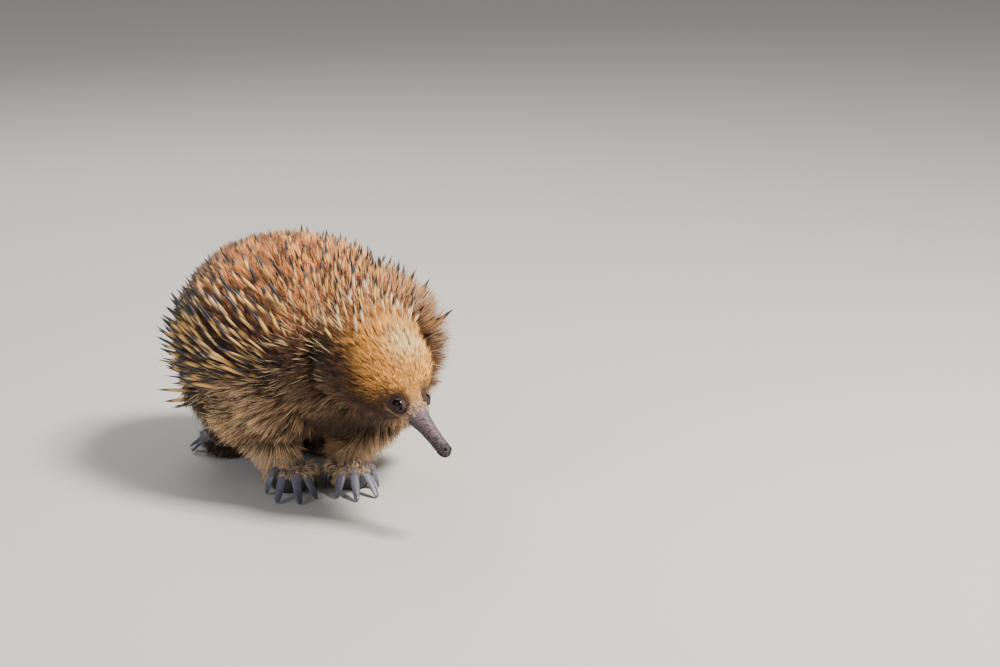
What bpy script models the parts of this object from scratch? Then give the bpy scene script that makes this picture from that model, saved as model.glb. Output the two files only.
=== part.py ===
# Short-beaked echidna, walking with its head low, as a still life-size model.
# It faces -Y, its left side is +X, and it stands on z = 0.
# The flesh is modelled whole, joined and smoothed, then parted with thin cuts.
# Spines and fur locks are fused to the part that they grow from. Metres throughout.

import math
import random
from functools import partial

import bmesh
import bpy
from mathutils import Matrix, Vector
from mathutils.bvhtree import BVHTree

# Driving sizes of the animal
TRUNK_WIDTH = 0.176
TRUNK_LENGTH = 0.246
BACK_HEIGHT = 0.184
BELLY_HEIGHT = 0.042
BEAK_LENGTH = 0.0445
BEAK_ROOT_RADIUS = 0.0096
EYE_RADIUS = 0.0044
SPINE_LENGTH = 0.036
SPINE_RADIUS = 0.0019
LOCK_LENGTH = 0.030
LOCK_HALF_WIDTH = 0.0056
LOCK_HALF_THICKNESS = 0.0012
SPINE_EDGE = 0.100

# Clearance between touching parts, and how deep a spine or lock is rooted
GAP = 0.0003
ROOT = 0.006
CLEARANCE = 0.0005
FLOOR_CLEARANCE = 0.002

# How many triangles the bare flesh gets, and how many places are tried for spines and locks
FLESH_TRIANGLES = 2700
FOOT_TRIANGLES = 210
TORSO_PLACES = 352
NECK_PLACES = 200
HEAD_PLACES = 130
COAT_SEED = 11

# Places are measured from the middle of the trunk
TRUNK = Vector((0.0, 0.0316, 0.102))
GROUND = Vector((TRUNK.x, TRUNK.y, 0.0))
SHOULDERS = TRUNK + Vector((0.0, -0.075, 0.002))
TAIL_ROOT = TRUNK + Vector((0.0, 0.108, -0.034))
UP = Vector((0.0, 0.0, 1.0))
BACKWARD = Vector((0.0, 1.0, 0.0))

# The head turns a little to the animal's left and dips
HEAD_TURN = math.radians(7.6)
HEAD_DIP = math.radians(30.7)
BEAK_ROOT = TRUNK + Vector((0.0055, -0.1820, -0.0120))
MOUTH_LENGTH = 0.0085
LID_RADIUS = 0.0015
EAR_BEHIND = 0.084
EAR_HALF_WIDTH = 0.0075
EAR_HALF_HEIGHT = 0.0155
EAR_DEPTH = 0.0055
EAR_WALL = 0.0016
EAR_SUNK = 0.0022
NECK_FRONT = TRUNK + Vector((0.0, -0.098, 0.0))
NECK_LENGTH = 0.018

# Feet on the ground, the way they point, and the toes of each foot
SIDES = {"right": -1.0, "left": 1.0}
FORE_FEET = {
    "right": GROUND + Vector((-0.031, -0.042, 0.0)),
    "left": GROUND + Vector((0.014, -0.059, 0.0)),
}
HIND_FEET = {
    "right": GROUND + Vector((-0.031, 0.074, 0.0)),
    "left": GROUND + Vector((0.038, 0.036, 0.0)),
}
FORE_HEADING = {"right": math.radians(-112.0), "left": math.radians(-108.0)}
HIND_HEADING = {"right": math.radians(100.0), "left": math.radians(40.0)}
ELBOW_OUT = {"right": 0.056, "left": 0.066}
WRIST_HEIGHT = 0.022
LEG_REACH = 0.042
TOE_RADIUS = 0.0043
PALM_REACH = 0.0250
SIDE_TOE_SHORTER = 0.0080
CLAW_DIP = 0.55
CLAW_TIP_HEIGHT = 0.0012

# Each toe: its turn from the foot's heading towards the outer side, and its claw's length
FORE_TOES = ((-80, 0.006), (-27, 0.022), (-4, 0.027), (20, 0.025), (56, 0.008))
HIND_TOES = ((-54, 0.010), (-26, 0.030), (-1, 0.022), (24, 0.017), (50, 0.013))
FORE_TOE_HEIGHT = 0.0165
HIND_TOE_HEIGHT = 0.0110
CLAW_HALF_WIDTH = 0.0036
CLAW_HALF_THICKNESS = 0.0022

# The bare beak: its radius, as a share of the root's, along its length
BEAK_PROFILE = (
    (0.0, 1.0), (0.10, 0.80), (0.26, 0.62), (0.50, 0.52), (0.74, 0.49), (0.88, 0.52),
    (0.96, 0.42), (1.0, 0.0),
)


PAINTS = {
    "torso": ((0.16, 0.085, 0.045), 0.8),
    "neck": ((0.22, 0.12, 0.06), 0.8),
    "head": ((0.42, 0.26, 0.12), 0.8),
    "tail": ((0.12, 0.075, 0.05), 0.8),
    "beak": ((0.10, 0.080, 0.095), 0.45),
    "eye": ((0.012, 0.010, 0.010), 0.08),
    "ear": ((0.16, 0.09, 0.06), 0.7),
    "foreleg": ((0.33, 0.19, 0.09), 0.8),
    "hindleg": ((0.13, 0.08, 0.05), 0.8),
    "forefoot": ((0.13, 0.11, 0.12), 0.6),
    "hindfoot": ((0.13, 0.11, 0.12), 0.6),
    "claw": ((0.11, 0.12, 0.15), 0.35),
}


# Directions and placements


def head_axes():
    """Forward, left and up of the head."""
    forward = Vector(
        (
            math.sin(HEAD_TURN) * math.cos(HEAD_DIP),
            -math.cos(HEAD_TURN) * math.cos(HEAD_DIP),
            -math.sin(HEAD_DIP),
        )
    )
    left = Vector((math.cos(HEAD_TURN), math.sin(HEAD_TURN), 0.0))
    return forward, left, forward.cross(left)


HEAD_FORWARD, HEAD_LEFT, HEAD_UP = head_axes()


def on_head(behind, left, up):
    """A point measured back from the beak's root, in the head's own axes."""
    return BEAK_ROOT - behind * HEAD_FORWARD + left * HEAD_LEFT + up * HEAD_UP


def axes_matrix(x_axis, y_axis, z_axis, origin):
    """A placement whose local axes are the three given ones."""
    turned = Matrix((x_axis, y_axis, z_axis)).transposed().to_4x4()
    return Matrix.Translation(origin) @ turned


def along(direction, origin):
    """A placement whose local +Z runs along direction."""
    return Matrix.Translation(origin) @ direction.to_track_quat("Z", "Y").to_matrix().to_4x4()


def bearing(angle):
    """A level direction, counted anticlockwise from +X."""
    return Vector((math.cos(angle), math.sin(angle), 0.0))


# Objects and meshes


def clear_scene():
    for obj in list(bpy.data.objects):
        bpy.data.objects.remove(obj, do_unlink=True)


def collection(name, hidden=False):
    made = bpy.data.collections.new(name)
    bpy.context.scene.collection.children.link(made)
    made.hide_render = hidden
    return made


def material(name, colour, roughness):
    made = bpy.data.materials.new(name)
    made.use_nodes = True
    shader = made.node_tree.nodes["Principled BSDF"]
    shader.inputs["Base Color"].default_value = (*colour, 1.0)
    shader.inputs["Roughness"].default_value = roughness
    shader.inputs["Metallic"].default_value = 0.0
    return made


def mesh_from(bm, name="form"):
    mesh = bpy.data.meshes.new(name)
    bm.to_mesh(mesh)
    bm.free()
    return mesh


def put(name, mesh, group):
    obj = bpy.data.objects.new(name, mesh)
    group.objects.link(obj)
    return obj


def applied(obj):
    """Applies the object's modifiers to its mesh."""
    bpy.context.view_layer.update()
    graph = bpy.context.evaluated_depsgraph_get()
    mesh = bpy.data.meshes.new_from_object(obj.evaluated_get(graph))
    obj.modifiers.clear()
    obj.data = mesh
    return obj


def cutter(mesh, group):
    """A hidden object that only shapes others."""
    obj = put("cutter", mesh, group)
    obj.hide_render = True
    obj.display_type = "WIRE"
    return obj


def boolean(obj, mesh, operation, group):
    """Joins one mesh to an object, takes it away, or keeps what they share."""
    other = cutter(mesh, group)
    step = obj.modifiers.new(operation.lower(), "BOOLEAN")
    step.operation = operation
    step.solver = "EXACT"
    step.object = other
    applied(obj)
    bpy.data.objects.remove(other, do_unlink=True)
    return obj


def largest_piece(obj):
    """Keeps only the largest closed surface of a mesh."""
    bm = bmesh.new()
    bm.from_mesh(obj.data)
    left, pieces = set(bm.verts), []
    while left:
        piece, edge = set(), [left.pop()]
        while edge:
            vert = edge.pop()
            piece.add(vert)
            near = {link.other_vert(vert) for link in vert.link_edges} & left
            edge.extend(near)
            left -= near
        pieces.append(piece)
    pieces.sort(key=len)
    for piece in pieces[:-1]:
        bmesh.ops.delete(bm, geom=list(piece), context="VERTS")
    bm.to_mesh(obj.data)
    bm.free()
    return obj


# Closed forms


def ellipsoid(radii, place, segments=24, rings=16):
    bm = bmesh.new()
    bmesh.ops.create_uvsphere(bm, u_segments=segments, v_segments=rings, radius=1.0)
    bmesh.ops.transform(bm, matrix=place @ Matrix.Diagonal((*radii, 1.0)), verts=bm.verts)
    return mesh_from(bm)


def limb(start, end, start_radius, end_radius, sides=20):
    """A tapered rod with round ends."""
    axis = end - start
    bm = bmesh.new()
    bmesh.ops.create_cone(
        bm, cap_ends=True, segments=sides, radius1=start_radius, radius2=end_radius,
        depth=axis.length, matrix=along(axis, (start + end) / 2),
    )
    for centre, radius in ((start, start_radius), (end, end_radius)):
        bmesh.ops.create_uvsphere(
            bm, u_segments=sides, v_segments=sides // 2, radius=radius,
            matrix=Matrix.Translation(centre),
        )
    return mesh_from(bm)


def block(low, high, place):
    """A box between two corners, in the axes of a placement."""
    bm = bmesh.new()
    size, centre = high - low, (low + high) / 2
    shape = Matrix.Translation(centre) @ Matrix.Diagonal((*size, 1.0))
    bmesh.ops.create_cube(bm, size=1.0, matrix=place @ shape)
    return mesh_from(bm)


def slab(point, normal, depth, reach):
    """A box that begins at a point and runs along normal, reach wide to each side."""
    return block(Vector((-reach, -reach, 0.0)), Vector((reach, reach, depth)), along(normal, point))


def tapered(base, direction, across, length, width, thickness, rings, profile, droop, sides=4):
    """A rod that narrows to a point by its profile and bends by droop towards its tip."""
    bm = bmesh.new()
    bmesh.ops.create_cone(
        bm, cap_ends=True, segments=sides, radius1=1.0, radius2=0.0, depth=1.0,
        matrix=Matrix.Translation((0.0, 0.0, 0.5)),
    )
    for ring in rings:
        bmesh.ops.bisect_plane(
            bm, geom=bm.verts[:] + bm.edges[:] + bm.faces[:],
            plane_co=(0.0, 0.0, ring), plane_no=UP,
        )
    across = (across - across.project(direction)).normalized()
    upright = direction.cross(across)
    for vert in bm.verts:
        x, y, along_rod = vert.co
        size = profile(along_rod) / max(1.0 - along_rod, 1e-6)
        vert.co = (
            base + direction * length * along_rod + droop * length * along_rod ** 2
            + across * x * width * size + upright * y * thickness * size
        )
    return mesh_from(bm)


def fused(name, meshes, group, voxel, smoothing, triangles):
    """Joins overlapping closed meshes into one smooth skin of about so many triangles."""
    bm = bmesh.new()
    for mesh in meshes:
        bm.from_mesh(mesh)
    obj = put(name, mesh_from(bm, name), group)
    remesh = obj.modifiers.new("join", "REMESH")
    remesh.mode = "VOXEL"
    remesh.voxel_size = voxel
    remesh.adaptivity = 0.0
    smooth = obj.modifiers.new("soften", "SMOOTH")
    smooth.factor = 0.5
    smooth.iterations = smoothing
    applied(obj)
    bm = bmesh.new()
    bm.from_mesh(obj.data)
    bmesh.ops.triangulate(bm, faces=bm.faces)
    count = len(bm.faces)
    bm.to_mesh(obj.data)
    bm.free()
    fewer = obj.modifiers.new("fewer", "DECIMATE")
    fewer.ratio = min(1.0, triangles / count)
    return applied(obj)


# The flesh


def trunk_forms():
    half_height = BACK_HEIGHT - TRUNK.z
    belly = (TRUNK.z - BELLY_HEIGHT) / half_height
    radii = (TRUNK_WIDTH / 2, TRUNK_LENGTH / 2, half_height)
    barrel = ellipsoid(radii, Matrix.Translation(TRUNK), 40, 28)
    for vert in barrel.vertices:
        below = TRUNK.z - vert.co.z
        if below > 0.0:
            vert.co.z = TRUNK.z - below * belly
    rump = ellipsoid(
        (0.062, 0.050, 0.048), Matrix.Translation(TRUNK + Vector((0.0, 0.074, -0.008)))
    )
    chest = ellipsoid((0.073, 0.050, 0.047), Matrix.Translation(SHOULDERS + UP * 0.020))
    return [barrel, rump, chest]


def tail_forms():
    return [limb(TAIL_ROOT, TAIL_ROOT + Vector((0.0, 0.030, -0.012)), 0.020, 0.0095)]


def head_forms():
    place = axes_matrix(HEAD_LEFT, -HEAD_FORWARD, HEAD_UP, on_head(0.054, 0.0, 0.002))
    cranium = ellipsoid((0.0375, 0.043, 0.034), place, 32, 20)
    muzzle = limb(on_head(0.034, 0.0, 0.0), on_head(0.002, 0.0, 0.0), 0.0268, 0.0104)
    nape = limb(on_head(0.064, 0.0, 0.0), SHOULDERS + UP * 0.018, 0.039, 0.047)
    return [cranium, muzzle, nape]


def foreleg_joints(side):
    """Shoulder, elbow and wrist."""
    way, foot = SIDES[side], FORE_FEET[side]
    shoulder = SHOULDERS + Vector((way * 0.040, 0.012, -0.016))
    elbow = Vector((SHOULDERS.x + way * ELBOW_OUT[side], foot.y + 0.022, 0.064))
    wrist = foot + Vector((way * 0.004, 0.010, WRIST_HEIGHT + 0.006))
    return shoulder, elbow, wrist


def hindleg_joints(side):
    """Hip, knee and ankle."""
    way, foot = SIDES[side], HIND_FEET[side]
    hip = TRUNK + Vector((way * 0.040, 0.046, -0.030))
    knee = foot + Vector((way * 0.006, -0.022, 0.050))
    ankle = foot + Vector((0.0, -0.006, WRIST_HEIGHT + 0.004))
    return hip, knee, ankle


def leg_forms():
    forms = []
    for side in SIDES:
        shoulder, elbow, wrist = foreleg_joints(side)
        forms.append(limb(shoulder, elbow, 0.034, 0.029))
        forms.append(limb(elbow, wrist, 0.027, 0.0175))
        forms.append(limb(wrist, wrist - UP * 0.014, 0.0172, 0.0160))
        hip, knee, ankle = hindleg_joints(side)
        forms.append(limb(hip, knee, 0.036, 0.026))
        forms.append(limb(knee, ankle, 0.025, 0.0165))
        forms.append(limb(ankle, ankle - UP * 0.014, 0.0162, 0.0150))
    return forms


# Parting the flesh: each region is cut out with a thin gap


def neck_heading():
    """The level way across which the neck is cut, half as turned as the head."""
    return bearing(math.radians(-90.0) + HEAD_TURN / 2)


def leg_region(start, sole, grown):
    """A box round one leg, from where it leaves the trunk down past the sole."""
    way = (sole - start).normalized()
    return slab(start - way * grown, way, 0.2, LEG_REACH + grown)


def part_flesh(whole, parts, cutters):
    """Cuts head, neck, tail and legs out of the whole, and leaves the torso."""
    heading = neck_heading()
    throat = NECK_FRONT - heading * NECK_LENGTH
    regions = [
        ("head", lambda grown: slab(NECK_FRONT - heading * grown, heading, 0.3, 0.3)),
        ("neck", lambda grown: slab(throat - heading * grown, heading, 0.3, 0.3)),
        ("tail", lambda grown: slab(
            TAIL_ROOT + Vector((0.0, 0.008 - grown, 0.0)), BACKWARD, 0.1, 0.024 + grown)),
    ]
    for side in SIDES:
        for leg, joints, feet in (
            ("foreleg_", foreleg_joints, FORE_FEET), ("hindleg_", hindleg_joints, HIND_FEET),
        ):
            upper, lower, _ = joints(side)
            start = upper.lerp(lower, 0.42)
            regions.append((leg + side, partial(leg_region, start, feet[side])))
    nodes = {}
    for name, region in regions:
        piece = put(name, whole.data.copy(), parts)
        boolean(piece, region(0.0), "INTERSECT", cutters)
        nodes[name] = largest_piece(piece)
        boolean(whole, region(GAP), "DIFFERENCE", cutters)
    whole.name = "torso"
    nodes["torso"] = largest_piece(whole)
    return nodes


# Feet and claws


def toe_lines(foot, heading, toes, way, height):
    """For each toe, where its claw is rooted, the way the claw leaves it, and its length."""
    lines = []
    for turn, claw in toes:
        level = bearing(heading + way * math.radians(turn))
        reach = PALM_REACH - SIDE_TOE_SHORTER * abs(math.sin(math.radians(turn)))
        way_out = (level - UP * CLAW_DIP).normalized()
        lines.append((foot + level * reach + UP * height, level, way_out, claw))
    return lines


def foot_node(name, foot, wrist, lines, parts, cutters):
    """A sole with five toes, flat underneath, cut level where the leg stands on it."""
    forms = [
        ellipsoid((0.0170, 0.0170, 0.0120), Matrix.Translation(foot + UP * 0.0085)),
        limb(foot + UP * 0.008, wrist, 0.0130, 0.0168),
    ]
    for end, level, _, _ in lines:
        forms.append(limb(foot + level * 0.006 + UP * 0.0090, end, 0.0064, TOE_RADIUS))
    obj = fused(name, forms, parts, voxel=0.0013, smoothing=3, triangles=FOOT_TRIANGLES)
    boolean(obj, slab(foot, -UP, 0.05, 0.1), "DIFFERENCE", cutters)
    boolean(obj, slab(foot + UP * (WRIST_HEIGHT - GAP), UP, 0.05, 0.1), "DIFFERENCE", cutters)
    for end, _, way_out, _ in lines:
        boolean(obj, slab(end, way_out, 0.010, TOE_RADIUS + 0.0008), "DIFFERENCE", cutters)
    return largest_piece(obj)


def claw_profile(s):
    return 1.0 - 0.08 * s - 0.62 * s ** 3.2 if s < 0.999 else 0.12


def claw_node(name, line, parts):
    """A curved, flattened claw whose tip comes down close to the ground."""
    root, level, way_out, length = line
    base = root + way_out * GAP
    drop = (CLAW_TIP_HEIGHT - base.z) / length - way_out.z
    droop = UP * drop - level * 0.10
    mesh = tapered(
        base, way_out, level.cross(UP), length, CLAW_HALF_WIDTH, CLAW_HALF_THICKNESS,
        (0.35, 0.72), claw_profile, droop, sides=6,
    )
    return put(name, mesh, parts)


def feet(parts, cutters):
    """All four feet with their twenty claws."""
    nodes = {}
    for side, way in SIDES.items():
        for kind, places, joints, headings, toes, height in (
            ("fore", FORE_FEET, foreleg_joints, FORE_HEADING, FORE_TOES, FORE_TOE_HEIGHT),
            ("hind", HIND_FEET, hindleg_joints, HIND_HEADING, HIND_TOES, HIND_TOE_HEIGHT),
        ):
            turned = way if kind == "fore" else -way
            name = f"{kind}foot_{side}"
            lines = toe_lines(places[side], headings[side], toes, turned, height)
            nodes[name] = foot_node(name, places[side], joints(side)[2], lines, parts, cutters)
            for number, line in enumerate(lines, start=1):
                claw = f"claw_{kind}_{side}_{number}"
                nodes[claw] = claw_node(claw, line, parts)
    return nodes


# Beak, eyes and ears


def beak_node(parts, cutters):
    """A turned tube of horn, with two nostrils on its tip and a short slit of a mouth."""
    bm = bmesh.new()
    verts = [
        bm.verts.new((share * BEAK_ROOT_RADIUS, 0.0, height * BEAK_LENGTH))
        for height, share in [(0.0, 0.0)] + list(BEAK_PROFILE)
    ]
    for upper, lower in zip(verts, verts[1:]):
        bm.edges.new((upper, lower))
    obj = put("beak", mesh_from(bm), parts)
    turn = obj.modifiers.new("turn", "SCREW")
    turn.steps = 12
    turn.render_steps = 12
    turn.use_merge_vertices = True
    turn.merge_threshold = 0.00001
    applied(obj)
    bm = bmesh.new()
    bm.from_mesh(obj.data)
    bmesh.ops.remove_doubles(bm, verts=bm.verts, dist=0.00001)
    place = axes_matrix(HEAD_LEFT, HEAD_UP, HEAD_FORWARD, on_head(-GAP, 0.0, 0.0))
    bmesh.ops.transform(bm, matrix=place, verts=bm.verts)
    bm.normal_update()
    bmesh.ops.recalc_face_normals(bm, faces=bm.faces)
    bm.to_mesh(obj.data)
    bm.free()
    tip = place @ Matrix.Translation((0.0, 0.0, BEAK_LENGTH))
    for way in SIDES.values():
        nostril = tip @ Matrix.Translation((way * 0.0021, 0.0042, -0.0042))
        boolean(obj, ellipsoid((0.0008, 0.0011, 0.0015), nostril, 8, 6), "DIFFERENCE", cutters)
    slit = block(
        Vector((-0.01, -0.00035, -MOUTH_LENGTH)), Vector((0.01, 0.00035, 0.01)),
        tip @ Matrix.Translation((0.0, -0.0016, 0.0)),
    )
    boolean(obj, slit, "DIFFERENCE", cutters)
    return largest_piece(obj)


def eye_centre(way):
    return on_head(0.0095, way * 0.0122, 0.0045)


def eye_out(way):
    """The way an eye looks, out and a little up and forwards."""
    return (HEAD_LEFT * way * 0.93 + HEAD_UP * 0.24 + HEAD_FORWARD * 0.22).normalized()


def lid_ring(way):
    """The bare rim of the lids, a ring that stands round the eyeball."""
    place = along(eye_out(way), eye_centre(way) + eye_out(way) * 0.0012)
    bm = bmesh.new()
    bmesh.ops.create_circle(bm, radius=LID_RADIUS, segments=6)
    bmesh.ops.rotate(bm, matrix=Matrix.Rotation(math.pi / 2, 3, "X"), verts=bm.verts)
    bmesh.ops.translate(bm, vec=(EYE_RADIUS, 0.0, 0.0), verts=bm.verts)
    bmesh.ops.spin(
        bm, geom=bm.verts[:] + bm.edges[:], angle=math.tau, steps=14, use_merge=True,
        axis=UP, cent=(0.0, 0.0, 0.0),
    )
    bmesh.ops.transform(bm, matrix=place @ Matrix.Scale(1.12, 4, (0, 1, 0)), verts=bm.verts)
    bm.normal_update()
    bmesh.ops.recalc_face_normals(bm, faces=bm.faces)
    return mesh_from(bm)


def eyes(head, parts, cutters):
    """Two eyeballs in sockets, each with its rim of lid joined to the head."""
    nodes = {}
    for side, way in SIDES.items():
        place = Matrix.Translation(eye_centre(way))
        boolean(head, lid_ring(way), "UNION", cutters)
        socket = ellipsoid([EYE_RADIUS + GAP] * 3, place, 14, 8)
        boolean(head, socket, "DIFFERENCE", cutters)
        name = "eye_" + side
        nodes[name] = put(name, ellipsoid([EYE_RADIUS] * 3, place, 14, 8), parts)
    largest_piece(head)
    return nodes


def ear_place(way, head_tree):
    """On the side of the head, its slit upright, facing out."""
    start = on_head(EAR_BEHIND, 0.0, 0.0)
    point, normal, _, _ = head_tree.ray_cast(start, HEAD_LEFT * way)
    upright = (UP - UP.project(normal)).normalized()
    return axes_matrix(upright.cross(normal), upright, normal, point - normal * EAR_SUNK)


def ears(head, parts, cutters):
    """Each ear is an upright, hollow cup of gristle sunk in the side of the head."""
    nodes = {}
    tree = BVHTree.FromObject(head, bpy.context.evaluated_depsgraph_get())
    for side, way in SIDES.items():
        place = ear_place(way, tree)
        radii = (EAR_HALF_WIDTH, EAR_HALF_HEIGHT, EAR_DEPTH)
        boolean(head, ellipsoid([r + GAP for r in radii], place, 12, 8), "DIFFERENCE", cutters)
        obj = put("ear_" + side, ellipsoid(radii, place, 12, 8), parts)
        hollow = place @ Matrix.Translation((0.0, -0.001, EAR_DEPTH * 0.55))
        inner = [r - EAR_WALL for r in radii[:2]] + [EAR_DEPTH * 1.05]
        boolean(obj, ellipsoid(inner, hollow, 12, 8), "DIFFERENCE", cutters)
        nodes[obj.name] = largest_piece(obj)
    largest_piece(head)
    return nodes


# The coat


def tree_of(obj):
    return BVHTree.FromPolygons(
        [vert.co for vert in obj.data.vertices], [face.vertices for face in obj.data.polygons]
    )


def even_places(tree, centre, radii, count):
    """Evenly spread places on a rounded node, with their normals, by rays from its centre."""
    golden = math.pi * (3.0 - math.sqrt(5.0))
    for index in range(count):
        height = 1.0 - 2.0 * (index + 0.5) / count
        ring = math.sqrt(1.0 - height * height)
        ray = Vector((
            ring * math.cos(golden * index) * radii[0], ring * math.sin(golden * index) * radii[1],
            height * radii[2],
        )).normalized()
        point, normal, _, _ = tree.ray_cast(centre, ray)
        if point is not None:
            yield point, normal


def places_round(tree, line, rings, turns):
    """Places in rings round a limb's middle line, each ring turned half a step."""
    start, end = line
    across = (end - start).orthogonal().normalized()
    for ring in range(rings):
        centre = start.lerp(end, (ring + 0.5) / rings)
        for turn in range(turns):
            angle = math.tau * (turn + 0.5 * (ring % 2)) / turns
            ray = Matrix.Rotation(angle, 3, end - start) @ across
            point, normal, _, _ = tree.ray_cast(centre, ray)
            if point is not None:
                yield point, normal


def wobble(direction, rng, amount):
    """The direction turned a little, as no two spines lie alike."""
    return (direction + Vector([rng.uniform(-amount, amount) for _ in range(3)])).normalized()


def spine_profile(s):
    """Nearly even for half its length, then narrowing to the point."""
    return 1.0 - 0.25 * s if s < 0.6 else 0.85 * (1.0 - s) / 0.4


def lock_profile(s):
    """As wide as its root for half its length, and running out to a tip."""
    return 1.0 - 0.65 * s ** 2 if s < 0.999 else 0.0


def spine_lie(point, normal):
    """Spines stand near upright on the back, and lean back and up on the flanks."""
    flank = abs(normal.x)
    rise = min(max((point.z - 0.062) / 0.055, 0.12), 1.0)
    front = min(max((TRUNK.y - 0.030 - point.y) / 0.050, 0.0), 1.0)
    out = 0.55 + 0.30 * front
    lie = normal * out + BACKWARD * (0.20 + 0.42 * flank) + UP * 0.55 * flank * rise
    return lie.normalized()


def spine_edge(y):
    """The lowest height at which spines grow, along the trunk."""
    if y < SHOULDERS.y + 0.014:
        return SPINE_EDGE + 0.50 * (SHOULDERS.y + 0.014 - y)
    return max(SPINE_EDGE - 0.40 * (y - SHOULDERS.y - 0.014), 0.054)


class Strand:
    """One spine or lock: where it grows, the way it lies, and its size."""

    def __init__(self, point, normal, lie, length, half_width, half_thickness, kind, droop):
        self.point, self.normal, self.lie = point, normal, lie
        self.length, self.half_width, self.half_thickness = length, half_width, half_thickness
        self.kind, self.droop = kind, droop

    def mesh(self, lift, grown=0.0):
        lie = (self.lie + self.normal * lift).normalized()
        rings, profile = ((0.6,), spine_profile) if self.kind == "spine" else ((0.42, 0.76), lock_profile)
        across = self.normal.cross(lie) if self.kind == "lock" else lie.orthogonal()
        return tapered(
            self.point - lie * ROOT, lie, across, self.length + ROOT + grown,
            self.half_width + grown, self.half_thickness + grown, rings, profile, self.droop,
        )


def coat(obj, strands, trees):
    """Fuses those strands that keep clear of every other node, in one union."""
    others = [tree for name, tree in trees.items() if name != obj.name]
    growth = collection("growth")
    for strand in strands:
        for lift in (0.0, 0.45, 1.1):
            grown = strand.mesh(lift, grown=CLEARANCE)
            lowest = min(vert.co.z for vert in grown.vertices)
            shape = BVHTree.FromPolygons(
                [vert.co for vert in grown.vertices], [face.vertices for face in grown.polygons]
            )
            if lowest > FLOOR_CLEARANCE and not any(shape.overlap(tree) for tree in others):
                put("strand", strand.mesh(lift), growth)
                break
    union = obj.modifiers.new("coat", "BOOLEAN")
    union.operation = "UNION"
    union.solver = "EXACT"
    union.operand_type = "COLLECTION"
    union.collection = growth
    applied(obj)
    for strand in list(growth.objects):
        bpy.data.objects.remove(strand, do_unlink=True)
    bpy.data.collections.remove(growth)
    largest_piece(obj)
    trees[obj.name] = tree_of(obj)
    return obj


def spine(point, normal, rng, reach):
    """A spine whose tip stands about reach above the skin."""
    lie = wobble(spine_lie(point, normal), rng, 0.10)
    length = min(max(reach / max(lie.dot(normal), 0.3), 0.016), SPINE_LENGTH)
    radius = SPINE_RADIUS * rng.uniform(0.88, 1.1)
    droop = -normal * rng.uniform(0.0, 0.08)
    return Strand(
        point, normal, lie, length * rng.uniform(0.88, 1.12), radius, radius, "spine", droop
    )


def lock(point, normal, lay, rng, lift=0.30, scale=1.0):
    """A flat lock that lies along lay, lifts a little and bends back to the skin."""
    flat = (lay - lay.project(normal)).normalized()
    lie = wobble(flat + normal * lift, rng, 0.10)
    sweep = normal.cross(flat) * rng.uniform(-0.22, 0.22)
    return Strand(
        point, normal, lie, LOCK_LENGTH * scale * rng.uniform(0.85, 1.15),
        LOCK_HALF_WIDTH * rng.uniform(0.85, 1.1), LOCK_HALF_THICKNESS, "lock",
        sweep - normal * 0.14,
    )


def spine_reach(point):
    """Spines stand proudest low on the flanks and over the shoulders."""
    low = min(max((0.118 - point.z) / 0.045, 0.0), 1.0)
    front = min(max((TRUNK.y - 0.030 - point.y) / 0.040, 0.0), 1.0)
    behind = min(max((point.y - TRUNK.y - 0.020) / 0.060, 0.0), 1.0)
    return 0.0125 + 0.009 * low + 0.006 * front + 0.005 * low * behind


def flank_lay(point):
    """Fur runs level over the shoulders and turns down towards the hind legs."""
    behind = min(max((point.y - SHOULDERS.y) / 0.090, 0.0), 1.0)
    return BACKWARD * (1.0 - 0.3 * behind) - UP * (0.2 + 0.5 * behind)


def coat_torso(obj, trees):
    rng = random.Random(COAT_SEED)
    radii = (TRUNK_WIDTH / 2, TRUNK_LENGTH / 2, BACK_HEIGHT - TRUNK.z)
    strands = []
    for point, normal in even_places(trees["torso"], TRUNK, radii, TORSO_PLACES):
        if point.z > spine_edge(point.y):
            strands.append(spine(point, normal, rng, spine_reach(point)))
        elif point.z > 0.046:
            strands.append(lock(point, normal, flank_lay(point), rng))
    coat(obj, strands, trees)


def coat_neck(obj, trees):
    rng = random.Random(COAT_SEED + 1)
    middle = (NECK_FRONT - neck_heading() * NECK_LENGTH / 2) + UP * 0.014
    strands = []
    for point, normal in even_places(trees["neck"], middle, (0.07, 0.05, 0.06), NECK_PLACES):
        if abs(normal.dot(neck_heading())) > 0.95:
            continue
        if point.z > spine_edge(point.y):
            strands.append(spine(point, normal, rng, 0.020))
        elif point.z > 0.07:
            strands.append(lock(point, normal, BACKWARD - UP * 0.4, rng, scale=0.8))
    coat(obj, strands, trees)


def coat_head(obj, trees):
    """Only the long fur: round the ears, on the nape and along the cheeks."""
    rng = random.Random(COAT_SEED + 2)
    middle = on_head(0.060, 0.0, 0.0)
    strands = []
    for point, normal in even_places(trees["head"], middle, (0.04, 0.05, 0.04), HEAD_PLACES):
        behind = (BEAK_ROOT - point).dot(HEAD_FORWARD)
        beside = abs((point - BEAK_ROOT).dot(HEAD_LEFT))
        if behind > 0.056 and beside > 0.022 and abs(normal.dot(neck_heading())) < 0.9:
            lay = -HEAD_FORWARD - UP * 0.25
            strands.append(lock(point, normal, lay, rng, lift=0.22, scale=0.66))
    coat(obj, strands, trees)


def coat_leg(obj, line, seed, lay_at, trees, rings, turns):
    rng = random.Random(COAT_SEED + seed)
    strands = []
    for point, normal in places_round(trees[obj.name], line, rings, turns):
        if abs(normal.z) < 0.85:
            strands.append(lock(point, normal, lay_at(point), rng, lift=0.26, scale=0.85))
    coat(obj, strands, trees)


def foreleg_lay(point):
    """Fur runs back over the upper arm and turns down to the wrist."""
    back = min(max((point.z - 0.040) / 0.040, 0.0), 1.0)
    return BACKWARD * back - UP * (1.1 - 0.8 * back)


def hindleg_lay(point):
    return BACKWARD * 0.6 - UP


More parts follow.
